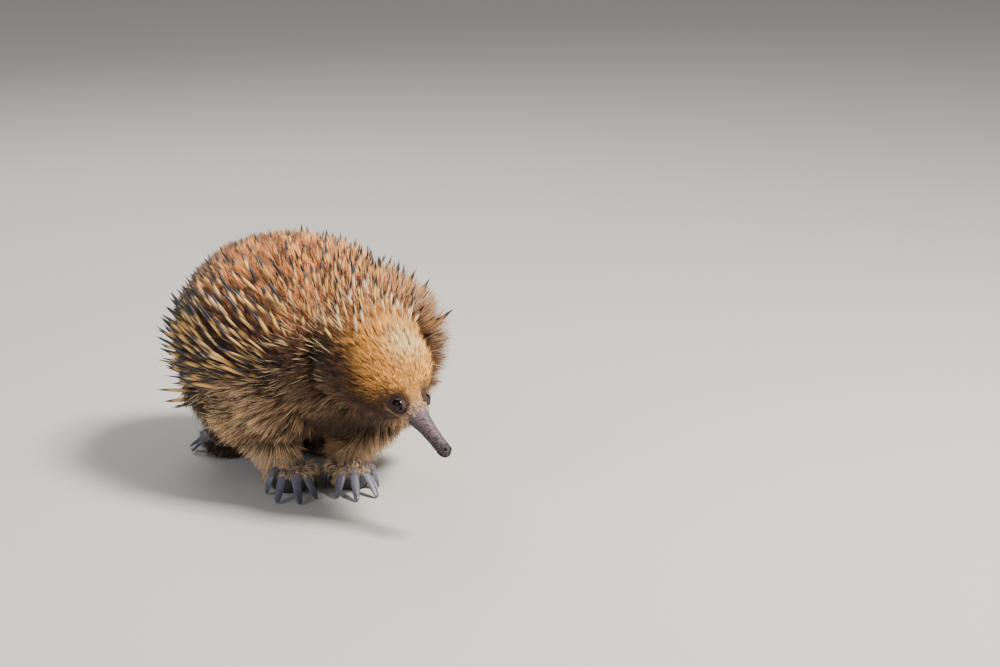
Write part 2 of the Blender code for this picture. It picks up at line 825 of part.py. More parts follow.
def coat_tail(obj, trees):
    rng = random.Random(COAT_SEED + 9)
    line = (TAIL_ROOT + BACKWARD * 0.006, TAIL_ROOT + Vector((0.0, 0.034, -0.014)))
    strands = []
    for point, normal in places_round(trees["tail"], line, 2, 5):
        lay = BACKWARD - UP * 0.25
        strands.append(lock(point, normal, lay, rng, lift=0.30, scale=0.75))
    coat(obj, strands, trees)


# Colours


def paint(nodes):
    """Each node's own colour."""
    for name, obj in nodes.items():
        kind = name.split("_")[0]
        obj.data.materials.clear()
        obj.data.materials.append(material(name, *PAINTS[kind]))
        obj.data.shade_smooth()
        obj.data.set_sharp_from_angle(angle=math.radians(35))


def main():
    clear_scene()
    parts = collection("echidna")
    cutters = collection("cutters", hidden=True)
    flesh = trunk_forms() + tail_forms() + head_forms() + leg_forms()
    whole = fused("whole", flesh, parts, voxel=0.003, smoothing=10, triangles=FLESH_TRIANGLES)
    nodes = part_flesh(whole, parts, cutters)
    for side in SIDES:
        for leg in ("foreleg_", "hindleg_"):
            obj = nodes[leg + side]
            boolean(obj, slab(GROUND + UP * WRIST_HEIGHT, -UP, 0.1, 0.3), "DIFFERENCE", cutters)
    boolean(nodes["head"], slab(BEAK_ROOT, HEAD_FORWARD, 0.05, 0.03), "DIFFERENCE", cutters)
    nodes.update(feet(parts, cutters))
    nodes["beak"] = beak_node(parts, cutters)
    nodes.update(eyes(nodes["head"], parts, cutters))
    nodes.update(ears(nodes["head"], parts, cutters))
    trees = {name: tree_of(obj) for name, obj in nodes.items()}
    coat_torso(nodes["torso"], trees)
    coat_neck(nodes["neck"], trees)
    coat_head(nodes["head"], trees)
    coat_tail(nodes["tail"], trees)
    for number, side in enumerate(SIDES):
        shoulder, elbow, wrist = foreleg_joints(side)
        coat_leg(
            nodes["foreleg_" + side], (shoulder.lerp(elbow, 0.6), wrist), 3 + number,
            foreleg_lay, trees, 4, 7,
        )
        hip, knee, ankle = hindleg_joints(side)
        coat_leg(
            nodes["hindleg_" + side], (hip.lerp(knee, 0.6), ankle), 5 + number,
            hindleg_lay, trees, 3, 7,
        )
    paint(nodes)


main()
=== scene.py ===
# Short-beaked echidna walking with its head low, dressed over its fixed solids.
# It faces -Y, its left side is +X, and it stands on z = 0. Metres throughout.
import math

import bmesh
import bpy
import numpy as np
from mathutils import Matrix, Vector, noise
from mathutils.kdtree import KDTree


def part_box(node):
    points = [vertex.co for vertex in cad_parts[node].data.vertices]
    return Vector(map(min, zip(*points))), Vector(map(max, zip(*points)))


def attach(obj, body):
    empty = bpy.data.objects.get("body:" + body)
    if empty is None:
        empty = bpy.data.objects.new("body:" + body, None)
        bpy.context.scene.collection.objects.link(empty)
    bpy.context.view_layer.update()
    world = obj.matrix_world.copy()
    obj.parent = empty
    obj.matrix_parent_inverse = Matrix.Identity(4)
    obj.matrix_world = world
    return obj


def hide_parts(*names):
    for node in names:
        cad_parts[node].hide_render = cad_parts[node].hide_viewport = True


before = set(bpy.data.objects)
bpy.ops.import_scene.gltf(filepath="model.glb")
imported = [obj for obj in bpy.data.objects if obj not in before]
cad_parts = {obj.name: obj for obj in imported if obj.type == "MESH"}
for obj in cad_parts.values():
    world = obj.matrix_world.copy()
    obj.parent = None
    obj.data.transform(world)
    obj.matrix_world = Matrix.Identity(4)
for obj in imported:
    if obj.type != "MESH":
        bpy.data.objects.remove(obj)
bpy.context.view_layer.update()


# The skin: one hide from the beak's root to the tail and down to the wrists, loose and dark.
# It is built up from the same body forms as the solids, drawn in by the depth of the fur,
# joined at a fine voxel size and smoothed, so that no seam shows between neck, trunk and legs.
TRUNK = Vector((0.0, 0.0316, 0.102))
TRUNK_HALVES = Vector((0.088, 0.123, 0.082))
BELLY_HEIGHT = 0.042
GROUND = Vector((TRUNK.x, TRUNK.y, 0.0))
SHOULDERS = TRUNK + Vector((0.0, -0.075, 0.002))
TAIL_ROOT = TRUNK + Vector((0.0, 0.108, -0.034))
UP = Vector((0.0, 0.0, 1.0))
BACKWARD = Vector((0.0, 1.0, 0.0))
HEAD_TURN = math.radians(7.6)
HEAD_DIP = math.radians(30.7)
HEAD_FORWARD = Vector((
    math.sin(HEAD_TURN) * math.cos(HEAD_DIP),
    -math.cos(HEAD_TURN) * math.cos(HEAD_DIP),
    -math.sin(HEAD_DIP),
))
HEAD_LEFT = Vector((math.cos(HEAD_TURN), math.sin(HEAD_TURN), 0.0))
HEAD_UP = HEAD_FORWARD.cross(HEAD_LEFT)
BEAK_ROOT = TRUNK + Vector((0.0055, -0.1820, -0.0120))
NECK_Y = TRUNK.y - 0.098
SIDES = {"right": -1.0, "left": 1.0}
FORE_FEET = {
    "right": GROUND + Vector((-0.031, -0.042, 0.0)),
    "left": GROUND + Vector((0.014, -0.059, 0.0)),
}
HIND_FEET = {
    "right": GROUND + Vector((-0.031, 0.074, 0.0)),
    "left": GROUND + Vector((0.038, 0.036, 0.0)),
}
ELBOW_OUT = {"right": 0.056, "left": 0.066}
WRIST_HEIGHT = 0.022
TRUNK_DEPTH = 0.004
HEAD_DEPTH = 0.0015
LEG_DEPTH = 0.0035
SKIN_VOXEL = 0.0015


def on_head(behind, left, up):
    """A point measured back from the beak's root, in the head's own axes."""
    return BEAK_ROOT - behind * HEAD_FORWARD + left * HEAD_LEFT + up * HEAD_UP


def axes_matrix(x_axis, y_axis, z_axis, origin):
    """A placement whose local axes are the three given ones."""
    turned = Matrix((x_axis, y_axis, z_axis)).transposed().to_4x4()
    return Matrix.Translation(origin) @ turned


def along(direction, origin):
    """A placement whose local +Z runs along direction."""
    return Matrix.Translation(origin) @ direction.to_track_quat("Z", "Y").to_matrix().to_4x4()


def add_egg(bm, radii, place, segments=32):
    """An egg-shaped mass of flesh."""
    shape = place @ Matrix.Diagonal((*radii, 1.0))
    return bmesh.ops.create_uvsphere(
        bm, u_segments=segments, v_segments=segments // 2, radius=1.0, matrix=shape,
    )["verts"]


def add_limb(bm, start, end, start_radius, end_radius, sides=24):
    """A tapered mass of flesh with round ends."""
    axis = end - start
    bmesh.ops.create_cone(
        bm, cap_ends=True, segments=sides, radius1=start_radius, radius2=end_radius,
        depth=axis.length, matrix=along(axis, (start + end) / 2),
    )
    for centre, radius in ((start, start_radius), (end, end_radius)):
        add_egg(bm, (radius,) * 3, Matrix.Translation(centre), sides)


def new_object(name, bm):
    """A finished mesh as an object at the origin."""
    mesh = bpy.data.meshes.new(name)
    bm.to_mesh(mesh)
    bm.free()
    made = bpy.data.objects.new(name, mesh)
    bpy.context.scene.collection.objects.link(made)
    return made


def applied(obj):
    """Applies an object's modifiers to its mesh."""
    bpy.context.view_layer.update()
    graph = bpy.context.evaluated_depsgraph_get()
    mesh = bpy.data.meshes.new_from_object(obj.evaluated_get(graph))
    obj.modifiers.clear()
    obj.data = mesh
    return obj


def grown_together(obj, voxel, smoothing):
    """Joins overlapping masses into one smooth surface."""
    remesh = obj.modifiers.new("join", "REMESH")
    remesh.mode = "VOXEL"
    remesh.voxel_size = voxel
    remesh.adaptivity = 0.0
    smooth = obj.modifiers.new("soften", "SMOOTH")
    smooth.factor = 0.5
    smooth.iterations = smoothing
    applied(obj)
    obj.data.shade_smooth()
    return obj


def foreleg_joints(side):
    """Shoulder, elbow and wrist."""
    way, foot = SIDES[side], FORE_FEET[side]
    shoulder = SHOULDERS + Vector((way * 0.040, 0.012, -0.016))
    elbow = Vector((SHOULDERS.x + way * ELBOW_OUT[side], foot.y + 0.022, 0.064))
    wrist = foot + Vector((way * 0.004, 0.010, WRIST_HEIGHT + 0.006))
    return shoulder, elbow, wrist


def hindleg_joints(side):
    """Hip, knee and ankle."""
    way, foot = SIDES[side], HIND_FEET[side]
    hip = TRUNK + Vector((way * 0.040, 0.046, -0.030))
    knee = foot + Vector((way * 0.006, -0.022, 0.050))
    ankle = foot + Vector((0.0, -0.006, WRIST_HEIGHT + 0.004))
    return hip, knee, ankle


body = bmesh.new()
barrel = add_egg(body, TRUNK_HALVES - Vector((TRUNK_DEPTH,) * 3), Matrix.Translation(TRUNK), 48)
belly_share = (TRUNK.z - BELLY_HEIGHT - TRUNK_DEPTH) / (TRUNK_HALVES.z - TRUNK_DEPTH)
for vert in barrel:
    if vert.co.z < TRUNK.z:
        vert.co.z = TRUNK.z - (TRUNK.z - vert.co.z) * belly_share
for radii, place in (
    ((0.062, 0.050, 0.048), TRUNK + Vector((0.0, 0.074, -0.008))),
    ((0.073, 0.050, 0.047), SHOULDERS + UP * 0.020),
):
    add_egg(body, Vector(radii) - Vector((TRUNK_DEPTH,) * 3), Matrix.Translation(place))
add_limb(body, TAIL_ROOT, TAIL_ROOT + Vector((0.0, 0.030, -0.012)), 0.016, 0.0065)
head_place = axes_matrix(HEAD_LEFT, -HEAD_FORWARD, HEAD_UP, on_head(0.054, 0.0, 0.002))
add_egg(body, Vector((0.0375, 0.043, 0.034)) - Vector((HEAD_DEPTH,) * 3), head_place)
add_limb(body, on_head(0.034, 0.0, 0.0), on_head(0.003, 0.0, 0.0), 0.0268 - HEAD_DEPTH, 0.0094)
add_limb(
    body, on_head(0.064, 0.0, 0.0), SHOULDERS + UP * 0.018, 0.039 - HEAD_DEPTH, 0.047 - TRUNK_DEPTH,
)
for side in SIDES:
    shoulder, elbow, wrist = foreleg_joints(side)
    add_limb(body, shoulder, elbow, 0.034 - LEG_DEPTH, 0.029 - LEG_DEPTH)
    add_limb(body, elbow, wrist, 0.027 - LEG_DEPTH, 0.0175 - LEG_DEPTH)
    add_limb(body, wrist, wrist - UP * 0.011, 0.0172 - LEG_DEPTH, 0.0155 - LEG_DEPTH)
    hip, knee, ankle = hindleg_joints(side)
    add_limb(body, hip, knee, 0.036 - LEG_DEPTH, 0.026 - LEG_DEPTH)
    add_limb(body, knee, ankle, 0.025 - LEG_DEPTH, 0.0165 - LEG_DEPTH)
    add_limb(body, ankle, ankle - UP * 0.009, 0.0162 - LEG_DEPTH, 0.0150 - LEG_DEPTH)
skin = grown_together(new_object("skin", body), SKIN_VOXEL, 10)


# Finishes: pigments are mixed as sums on shader sockets, and each finish is one material.
# The markings of the coat are worked out from places on the body, for skin and fur alike:
# golden face, a painted highlight on the forehead, painted shade round the ears, under the
# belly, between the legs and on the breast, a red-brown back painted lighter on top, and golden forelegs.


class Value:
    """A shader socket that takes part in sums."""

    def __init__(self, finish, socket):
        self.finish = finish
        self.socket = socket

    def math(self, operation, first, second):
        made = self.finish.node("Math", {"operation": operation}, {0: first, 1: second})
        return Value(self.finish, made.outputs[0])

    def __add__(self, other):
        return self.math("ADD", self, other)

    def __radd__(self, other):
        return self.math("ADD", other, self)

    def __sub__(self, other):
        return self.math("SUBTRACT", self, other)

    def __rsub__(self, other):
        return self.math("SUBTRACT", other, self)

    def __mul__(self, other):
        return self.math("MULTIPLY", self, other)

    def __rmul__(self, other):
        return self.math("MULTIPLY", other, self)


class Finish:
    """One material, mixed node by node."""

    def __init__(self, name, roughness=0.6):
        self.material = bpy.data.materials.new(name)
        self.material.use_nodes = True
        self.tree = self.material.node_tree
        self.shader = self.tree.nodes["Principled BSDF"]
        self.shader.inputs["Roughness"].default_value = roughness
        self.place = self.node("TexCoord").outputs["Object"]

    def feed(self, socket, value):
        if isinstance(value, Value):
            value = value.socket
        if isinstance(value, bpy.types.NodeSocket):
            self.tree.links.new(value, socket)
        else:
            socket.default_value = value

    def node(self, kind, settings=None, sockets=None):
        made = self.tree.nodes.new("ShaderNode" + kind)
        for key, value in (settings or {}).items():
            setattr(made, key, value)
        for key, value in (sockets or {}).items():
            self.feed(made.inputs[key], value)
        return made

    def toward(self, direction, origin=Vector((0.0, 0.0, 0.0))):
        """How far a point lies from origin along a direction."""
        dot = self.node(
            "VectorMath", {"operation": "DOT_PRODUCT"}, {0: self.place, 1: tuple(direction)},
        )
        return Value(self, dot.outputs["Value"]) - origin.dot(direction)

    def near(self, point):
        """The distance from a point."""
        made = self.node("VectorMath", {"operation": "DISTANCE"}, {0: self.place, 1: tuple(point)})
        return Value(self, made.outputs["Value"])

    def rise(self, value, low, high):
        """From 0 at low to 1 at high, softly."""
        made = self.node(
            "MapRange", {"interpolation_type": "SMOOTHSTEP"}, {0: value, 1: low, 2: high},
        )
        return Value(self, made.outputs[0])

    def noise(self, scale, detail=2.0, stretch=None):
        place = self.place
        if stretch:
            place = self.node("Mapping", None, {"Vector": place, "Scale": stretch}).outputs[0]
        made = self.node("TexNoise", None, {"Vector": place, "Scale": scale, "Detail": detail})
        return Value(self, made.outputs["Fac"])

    def attribute(self, name):
        made = self.node("Attribute", {"attribute_name": name})
        return Value(self, made.outputs["Fac"])

    def mix(self, mask, first, second):
        made = self.node("Mix", {"data_type": "RGBA"}, {0: mask, 6: first, 7: second})
        return made.outputs[2]

    def times(self, colour, factor):
        """A colour made lighter or darker by a factor."""
        made = self.node("VectorMath", {"operation": "SCALE"}, {0: colour, "Scale": factor})
        return made.outputs[0]

    def colour(self, value):
        self.feed(self.shader.inputs["Base Color"], value)

    def roughness(self, value):
        self.feed(self.shader.inputs["Roughness"], value)

    def bump(self, height, distance, strength=1.0):
        made = self.node("Bump", None, {"Height": height, "Distance": distance, "Strength": strength})
        self.feed(self.shader.inputs["Normal"], made.outputs[0])


def pigment(red, green, blue):
    """A colour as the eye reads it, made linear for the shader."""
    linear = [((c + 0.055) / 1.055) ** 2.4 if c > 0.04 else c / 12.92 for c in (red, green, blue)]
    return (*linear, 1.0)


EAR_PLACES = {
    side: (Vector(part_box("ear_" + side)[0]) + Vector(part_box("ear_" + side)[1])) / 2 for side in SIDES
}
EAR_TUFTS = {
    side: on_head(0.101, way * 0.031, 0.014) for side, way in SIDES.items()
}
EYE_PLACES = {side: on_head(0.0095, way * 0.0122, 0.0045) for side, way in SIDES.items()}


def markings_and_painted_light(finish, streak):
    """The coat's colour at a place on the body, with painted highlight and painted shade in it; streak tells one
    lock of fur from the next.
    """
    behind = finish.toward(-HEAD_FORWARD, BEAK_ROOT)
    above = finish.toward(HEAD_UP, BEAK_ROOT)
    height = finish.toward(UP)
    back = finish.toward(BACKWARD)
    patchy = finish.noise(45.0, 3.0)
    # High on the back the coat is redder and much lighter: partly the coat's own red-brown, partly painted
    # sunlight on the top of the back.
    crest = finish.rise(height + patchy * 0.03, 0.138, 0.196)
    rust = finish.mix(crest, pigment(0.42, 0.28, 0.20), pigment(0.94, 0.64, 0.38))
    dusk = finish.mix(crest, pigment(0.15, 0.11, 0.11), pigment(0.42, 0.28, 0.21))
    colour = finish.mix(finish.rise(streak, 0.28, 0.72), dusk, rust)
    rump = finish.rise(back + patchy * 0.03, 0.075, 0.155)
    colour = finish.mix(rump * 0.75, colour, pigment(0.34, 0.26, 0.23))
    low = 1.0 - finish.rise(height + patchy * 0.02 + back * 0.25, 0.068, 0.122)
    fore = 1.0 - finish.rise(back, 0.030, 0.060)
    sleeve = finish.mix(
        finish.rise(streak, 0.22, 0.82), pigment(0.22, 0.14, 0.09), pigment(0.98, 0.81, 0.62),
    )
    # Painted shade: the breast and the fronts of the forelegs under the head are darkened, where the head's shadow
    # falls.
    shaded_breast = (1.0 - finish.rise(back + patchy * 0.02, -0.042, -0.014)) * finish.rise(height, 0.040, 0.064)
    sleeve = finish.mix(shaded_breast * 0.70, sleeve, finish.mix(
        finish.rise(streak, 0.2, 0.9), pigment(0.18, 0.12, 0.08), pigment(0.50, 0.36, 0.24)))
    flank = finish.mix(fore, pigment(0.33, 0.24, 0.18), sleeve)
    colour = finish.mix(low, colour, flank)
    # Painted shade: near the middle, under the belly and between the legs, the coat is darkened almost to
    # black-brown.
    inner = finish.node("Math", {"operation": "ABSOLUTE"}, {0: finish.toward(Vector((1, 0, 0)))})
    inside = 1.0 - finish.rise(Value(finish, inner.outputs[0]), 0.022, 0.060)
    under = inside * (1.0 - finish.rise(height, 0.066, 0.086)) * finish.rise(height, 0.030, 0.046)
    colour = finish.mix(under * 0.92, colour, finish.mix(
        streak, pigment(0.11, 0.07, 0.055), pigment(0.31, 0.21, 0.15)))
    wrist = 1.0 - finish.rise(height, 0.022, 0.040)
    colour = finish.mix(wrist * fore * 0.80, colour, pigment(0.95, 0.83, 0.68))
    cheek = finish.mix(
        finish.rise(above + streak * 0.012 - behind * 0.14, -0.006, 0.024),
        pigment(0.29, 0.175, 0.10), pigment(1.0, 0.72, 0.34),
    )
    cheek = finish.mix((1.0 - finish.rise(streak, 0.10, 0.50)) * 0.7, cheek, pigment(0.32, 0.21, 0.13))
    side = finish.rise(behind + patchy * 0.02, 0.030, 0.064)
    side = side * (1.0 - finish.rise(above + streak * 0.010, 0.016, 0.044))
    cheek = finish.mix(side * 0.85, cheek, finish.mix(
        finish.rise(streak, 0.35, 0.95), pigment(0.17, 0.11, 0.08), pigment(0.56, 0.39, 0.25)))
    # Painted highlight: a pale patch on the forehead, where the sun falls on the crown.
    forehead_highlight = 1.0 - finish.rise(finish.near(on_head(0.045, 0.005, 0.036)) + patchy * 0.010, 0.004, 0.034)
    face = finish.mix(forehead_highlight * 0.90, cheek, pigment(1.0, 0.91, 0.68))
    rim = 1.0 - finish.rise(behind, 0.002, 0.010)
    face = finish.mix(rim * 0.6, face, pigment(0.88, 0.77, 0.62))
    beside = finish.rise(finish.toward(HEAD_LEFT, BEAK_ROOT), 0.036, 0.052)
    beside = beside * (1.0 - finish.rise(back, -0.020, 0.010)) * finish.rise(height, 0.070, 0.090)
    colour = finish.mix(beside * 0.8, colour, finish.mix(
        finish.rise(streak, 0.2, 0.8), pigment(0.26, 0.18, 0.14), pigment(0.66, 0.48, 0.34)))
    head = 1.0 - finish.rise(behind + patchy * 0.03 - above * 0.25, 0.062, 0.098)
    colour = finish.mix(head * (1.0 - finish.rise(back, -0.080, -0.050)), colour, face)
    for point in EAR_PLACES.values():
        shade = 1.0 - finish.rise(finish.near(point) + patchy * 0.016, 0.010, 0.030)
        colour = finish.mix(shade * 0.75, colour, pigment(0.22, 0.16, 0.12))
    for point in EAR_TUFTS.values():
        tuft = 1.0 - finish.rise(finish.near(point) + patchy * 0.006, 0.006, 0.014)
        colour = finish.mix(tuft * 0.8 * finish.rise(streak, 0.1, 0.5), colour, pigment(0.95, 0.80, 0.65))
    for point in EYE_PLACES.values():
        behind_eye = finish.near(point - HEAD_FORWARD * 0.009 - HEAD_UP * 0.002)
        shade = 1.0 - finish.rise(behind_eye + streak * 0.004, 0.010, 0.019)
        colour = finish.mix(shade * 0.75, colour, pigment(0.33, 0.20, 0.13))
        shade = 1.0 - finish.rise(finish.near(point), 0.0070, 0.0110)
        colour = finish.mix(shade * 0.85, colour, pigment(0.22, 0.14, 0.11))
        away = finish.node("Math", {"operation": "ABSOLUTE"}, {0: finish.near(point) - 0.0112})
        line = 1.0 - finish.rise(Value(finish, away.outputs[0]), 0.0005, 0.0020)
        line = line * finish.rise(finish.toward(-HEAD_UP, point), 0.004, 0.008)
        colour = finish.mix(line * 0.6, colour, pigment(0.80, 0.66, 0.52))
    return colour


hide = Finish("hide", roughness=0.75)
hide.colour(hide.times(markings_and_painted_light(hide, hide.noise(260.0)), 0.40))
hide.bump(hide.noise(900.0), 0.0004)
skin.data.materials.append(hide.material)
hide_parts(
    "torso", "neck", "head", "tail", "foreleg_left", "foreleg_right", "hindleg_left",
    "hindleg_right",
)
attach(skin, "root")


# The feet: short broad paws of bare grey skin, with five toes side by side, flat soles
# on the ground, and creases across each toe.
WAY_DOWN = 0.55
FOOT_VOXEL = 0.0009
PALM_REACH = 0.0250
SIDE_TOE_SHORTER = 0.0080
FORE_HEADING = {"right": math.radians(-112.0), "left": math.radians(-108.0)}
HIND_HEADING = {"right": math.radians(100.0), "left": math.radians(40.0)}
FORE_TOES = ((-80, 0.006), (-27, 0.022), (-4, 0.027), (20, 0.025), (56, 0.008))
HIND_TOES = ((-54, 0.010), (-26, 0.030), (-1, 0.022), (24, 0.017), (50, 0.013))
foot_skin = Finish("foot_skin", roughness=0.55)
grain = foot_skin.noise(520.0, 4.0)
# Painted shade: the bare skin is darker towards the ground, where the foot stands in shadow, with grain mixed in.
foot_skin.colour(foot_skin.mix(
    foot_skin.rise(foot_skin.toward(UP), 0.002, 0.020) * 0.8 + grain * 0.3 - 0.1,
    pigment(0.27, 0.235, 0.24), pigment(0.50, 0.455, 0.47),
))
foot_skin.bump(grain + foot_skin.noise(160.0, 2.0, (1.0, 1.0, 3.0)), 0.0012, 0.8)
toe_lines = {}
paws = []
for side, way in SIDES.items():
    for kind, feet, joints, heading, toes, height in (
        ("fore", FORE_FEET, foreleg_joints, FORE_HEADING, FORE_TOES, 0.0165),
        ("hind", HIND_FEET, hindleg_joints, HIND_HEADING, HIND_TOES, 0.0110),
    ):
        foot, wrist = feet[side], joints(side)[2]
        turned = way if kind == "fore" else -way
        bm = bmesh.new()
        add_egg(bm, (0.0170, 0.0170, 0.0120), Matrix.Translation(foot + UP * 0.0085))
        add_limb(bm, foot + UP * 0.008, wrist, 0.0125, 0.0122)
        for number, (turn, claw) in enumerate(toes, start=1):
            angle = heading[side] + turned * math.radians(turn)
            level = Vector((math.cos(angle), math.sin(angle), 0.0))
            reach = PALM_REACH - SIDE_TOE_SHORTER * abs(math.sin(math.radians(turn)))
            end = foot + level * reach + UP * height
            add_limb(bm, foot + level * 0.006 + UP * 0.0090, end - level * 0.001, 0.0064, 0.0043)
            add_egg(bm, (0.0048,) * 3, Matrix.Translation(end - level * 0.0040 + UP * 0.0004), 16)
            toe_lines[f"claw_{kind}_{side}_{number}"] = (
                end, level, (level - UP * WAY_DOWN).normalized(), claw,
            )
        paw = grown_together(new_object(f"{kind}paw_{side}", bm), FOOT_VOXEL, 3)
        bm = bmesh.new()
        bm.from_mesh(paw.data)
        cut = bmesh.ops.bisect_plane(
            bm, geom=bm.verts[:] + bm.edges[:] + bm.faces[:], plane_co=(0.0, 0.0, 0.0002),
            plane_no=-UP, clear_outer=True,
        )["geom_cut"]
        bmesh.ops.edgeloop_fill(bm, edges=[part for part in cut if isinstance(part, bmesh.types.BMEdge)])
        bm.to_mesh(paw.data)
        bm.free()
        paw.data.materials.append(foot_skin.material)
        paws.append((paw, foot, kind, side))
        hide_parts(f"{kind}foot_{side}")
        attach(paw, "root")


# The claws: flat, curved spades of slate-blue horn, paler at the root and along the back.
# Each is drawn out from a flattened ring, worn blunt, and bent down to the ground.
CLAW_TIP_HEIGHT = 0.0012
CLAW_HALF_WIDTH = 0.0037
CLAW_HALF_THICKNESS = 0.0022
claw_horn = Finish("claw_horn", roughness=0.34)
streak = claw_horn.noise(260.0, 3.0, (3.0, 3.0, 0.6))
claw_horn.colour(claw_horn.mix(
    claw_horn.rise(claw_horn.toward(UP), 0.002, 0.018) * 0.6 + streak * 0.4,
    pigment(0.20, 0.20, 0.25), pigment(0.52, 0.53, 0.60),
))
claw_horn.bump(streak, 0.0006, 0.6)
for name, (root, level, way_out, length) in toe_lines.items():
    base = root - way_out * 0.0022
    length = length + 0.0022
    drop = (CLAW_TIP_HEIGHT - base.z) / length - way_out.z
    droop = UP * drop - level * 0.10
    across = level.cross(UP)
    upright = way_out.cross(across)
    bm = bmesh.new()
    bmesh.ops.create_cone(
        bm, cap_ends=True, segments=12, radius1=1.0, radius2=1.0, depth=1.0,
        matrix=Matrix.Translation((0.0, 0.0, 0.5)),
    )
    for ring in (0.2, 0.4, 0.6, 0.75, 0.87, 0.95):
        bmesh.ops.bisect_plane(
            bm, geom=bm.verts[:] + bm.edges[:] + bm.faces[:], plane_co=(0.0, 0.0, ring), plane_no=UP,
        )
    for vert in bm.verts:
        x, y, z = vert.co
        size = 1.0 - 0.06 * z - 0.50 * z ** 4 - (0.10 if z > 0.99 else 0.0)
        vert.co = (
            base + way_out * length * z + droop * length * z ** 2
            + across * x * CLAW_HALF_WIDTH * size
            + upright * y * CLAW_HALF_THICKNESS * size * (1.0 - 0.4 * z)
        )
    claw = new_object(name.replace("claw", "nail"), bm)
    claw.data.shade_smooth()
    rounding = claw.modifiers.new("round", "SUBSURF")
    rounding.levels = rounding.render_levels = 1
    claw.data.materials.append(claw_horn.material)
    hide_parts(name)
    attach(claw, "root")


# The beak: a bare tube of dark skin over bone, longer than the face and blunt at its tip.
# It is turned from its profile and stands on the front of the skin. Fine wrinkles cross it,
# two nostrils open on top of the tip, and the mouth is a short slit below them.
BEAK_LENGTH = 0.0445
BEAK_ROOT_RADIUS = 0.0096
ROUGHNESS = 0.0005
WRINKLE_DEPTH = 0.0002
NOSTRIL_RIM = 0.0005
NOSTRIL_DEPTH = 0.0016
MOUTH_LENGTH = 0.0080
MOUTH_DEPTH = 0.0006
BEAK_PROFILE = (
    (-0.10, 1.12), (0.0, 1.0), (0.10, 0.85), (0.26, 0.70), (0.50, 0.60), (0.74, 0.55), (0.87, 0.59),
    (0.95, 0.50), (0.985, 0.31), (1.0, 0.0),
)
bm = bmesh.new()
verts = [
    bm.verts.new((share * BEAK_ROOT_RADIUS, 0.0, height * BEAK_LENGTH))
    for height, share in [(-0.10, 0.0)] + list(BEAK_PROFILE)
]
edges = [bm.edges.new(pair) for pair in zip(verts, verts[1:])]
bmesh.ops.spin(
    bm, geom=verts + edges, angle=math.tau, steps=24, use_merge=True, axis=UP, cent=(0.0, 0.0, 0.0),
)
bmesh.ops.remove_doubles(bm, verts=bm.verts, dist=0.00001)
bmesh.ops.recalc_face_normals(bm, faces=bm.faces)
beak_place = axes_matrix(HEAD_LEFT, HEAD_UP, HEAD_FORWARD, on_head(0.0, 0.0, 0.0))
bmesh.ops.transform(bm, matrix=beak_place, verts=bm.verts)
beak = new_object("beak_skin", bm)
rounding = beak.modifiers.new("round", "SUBSURF")
rounding.levels = rounding.render_levels = 3
applied(beak)
nostrils = [
    beak_place @ Vector((way * 0.0021, 0.0037, BEAK_LENGTH - 0.0030)) for way in SIDES.values()
]
off_beak = beak_place.inverted()
for vert in beak.data.vertices:
    spot = off_beak @ vert.co
    rough = min(max((spot.z - 0.022) / 0.016, 0.15), 1.0)
    raised = ROUGHNESS * rough * noise.noise(vert.co * 520.0)
    raised += WRINKLE_DEPTH * noise.noise(Vector((spot.x * 90.0, spot.y * 90.0, spot.z * 900.0)))
    for nostril in nostrils:
        away = (vert.co - nostril).length
        raised += NOSTRIL_RIM * math.exp(-((away - 0.0016) / 0.0006) ** 2)
        raised -= NOSTRIL_DEPTH * math.exp(-(away / 0.0009) ** 2)
    if spot.z > BEAK_LENGTH - MOUTH_LENGTH:
        raised -= MOUTH_DEPTH * math.exp(-((spot.y + 0.0016) / 0.0004) ** 2)
    vert.co += vert.normal * raised
beak.data.shade_smooth()
skin_of_beak = Finish("beak_skin", roughness=0.42)
# Painted sheen and painted shade: the beak is lighter on top near its root, and darker underneath and towards the
# tip.
painted_top_sheen = skin_of_beak.rise(skin_of_beak.toward(HEAD_UP, BEAK_ROOT), -0.004, 0.006)
length = skin_of_beak.toward(HEAD_FORWARD, BEAK_ROOT)
mottle = skin_of_beak.noise(420.0, 3.0)
colour = skin_of_beak.mix(
    painted_top_sheen * (1.15 - 10.0 * length), pigment(0.15, 0.115, 0.125), pigment(0.42, 0.355, 0.395),
)
at_tip = skin_of_beak.rise(length, 0.022, 0.042)
soiled = skin_of_beak.rise(skin_of_beak.noise(230.0, 4.0) + at_tip * 0.16, 0.54, 0.66)
colour = skin_of_beak.mix(soiled * 0.6, colour, pigment(0.17, 0.12, 0.11))
# Painted shade: each nostril opening is coloured near black.
for nostril in nostrils:
    nostril_shade = 1.0 - skin_of_beak.rise(skin_of_beak.near(nostril), 0.0010, 0.0017)
    colour = skin_of_beak.mix(nostril_shade, colour, pigment(0.04, 0.03, 0.03))
skin_of_beak.colour(skin_of_beak.times(colour, 0.75 + mottle * 0.5))
wave = skin_of_beak.node(
    "TexWave", {"bands_direction": "Z"},
    {"Vector": skin_of_beak.node("Mapping", None, {
        "Vector": skin_of_beak.place, "Rotation": (HEAD_DIP, 0.0, HEAD_TURN)}).outputs[0],
     "Scale": 150.0, "Distortion": 4.0, "Detail": 2.0},
)
skin_of_beak.bump(
    Value(skin_of_beak, wave.outputs["Fac"]) * 0.6 + mottle + soiled * (0.5 + at_tip), 0.0009, 0.7,
)
beak.data.materials.append(skin_of_beak.material)
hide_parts("beak")
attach(beak, "root")


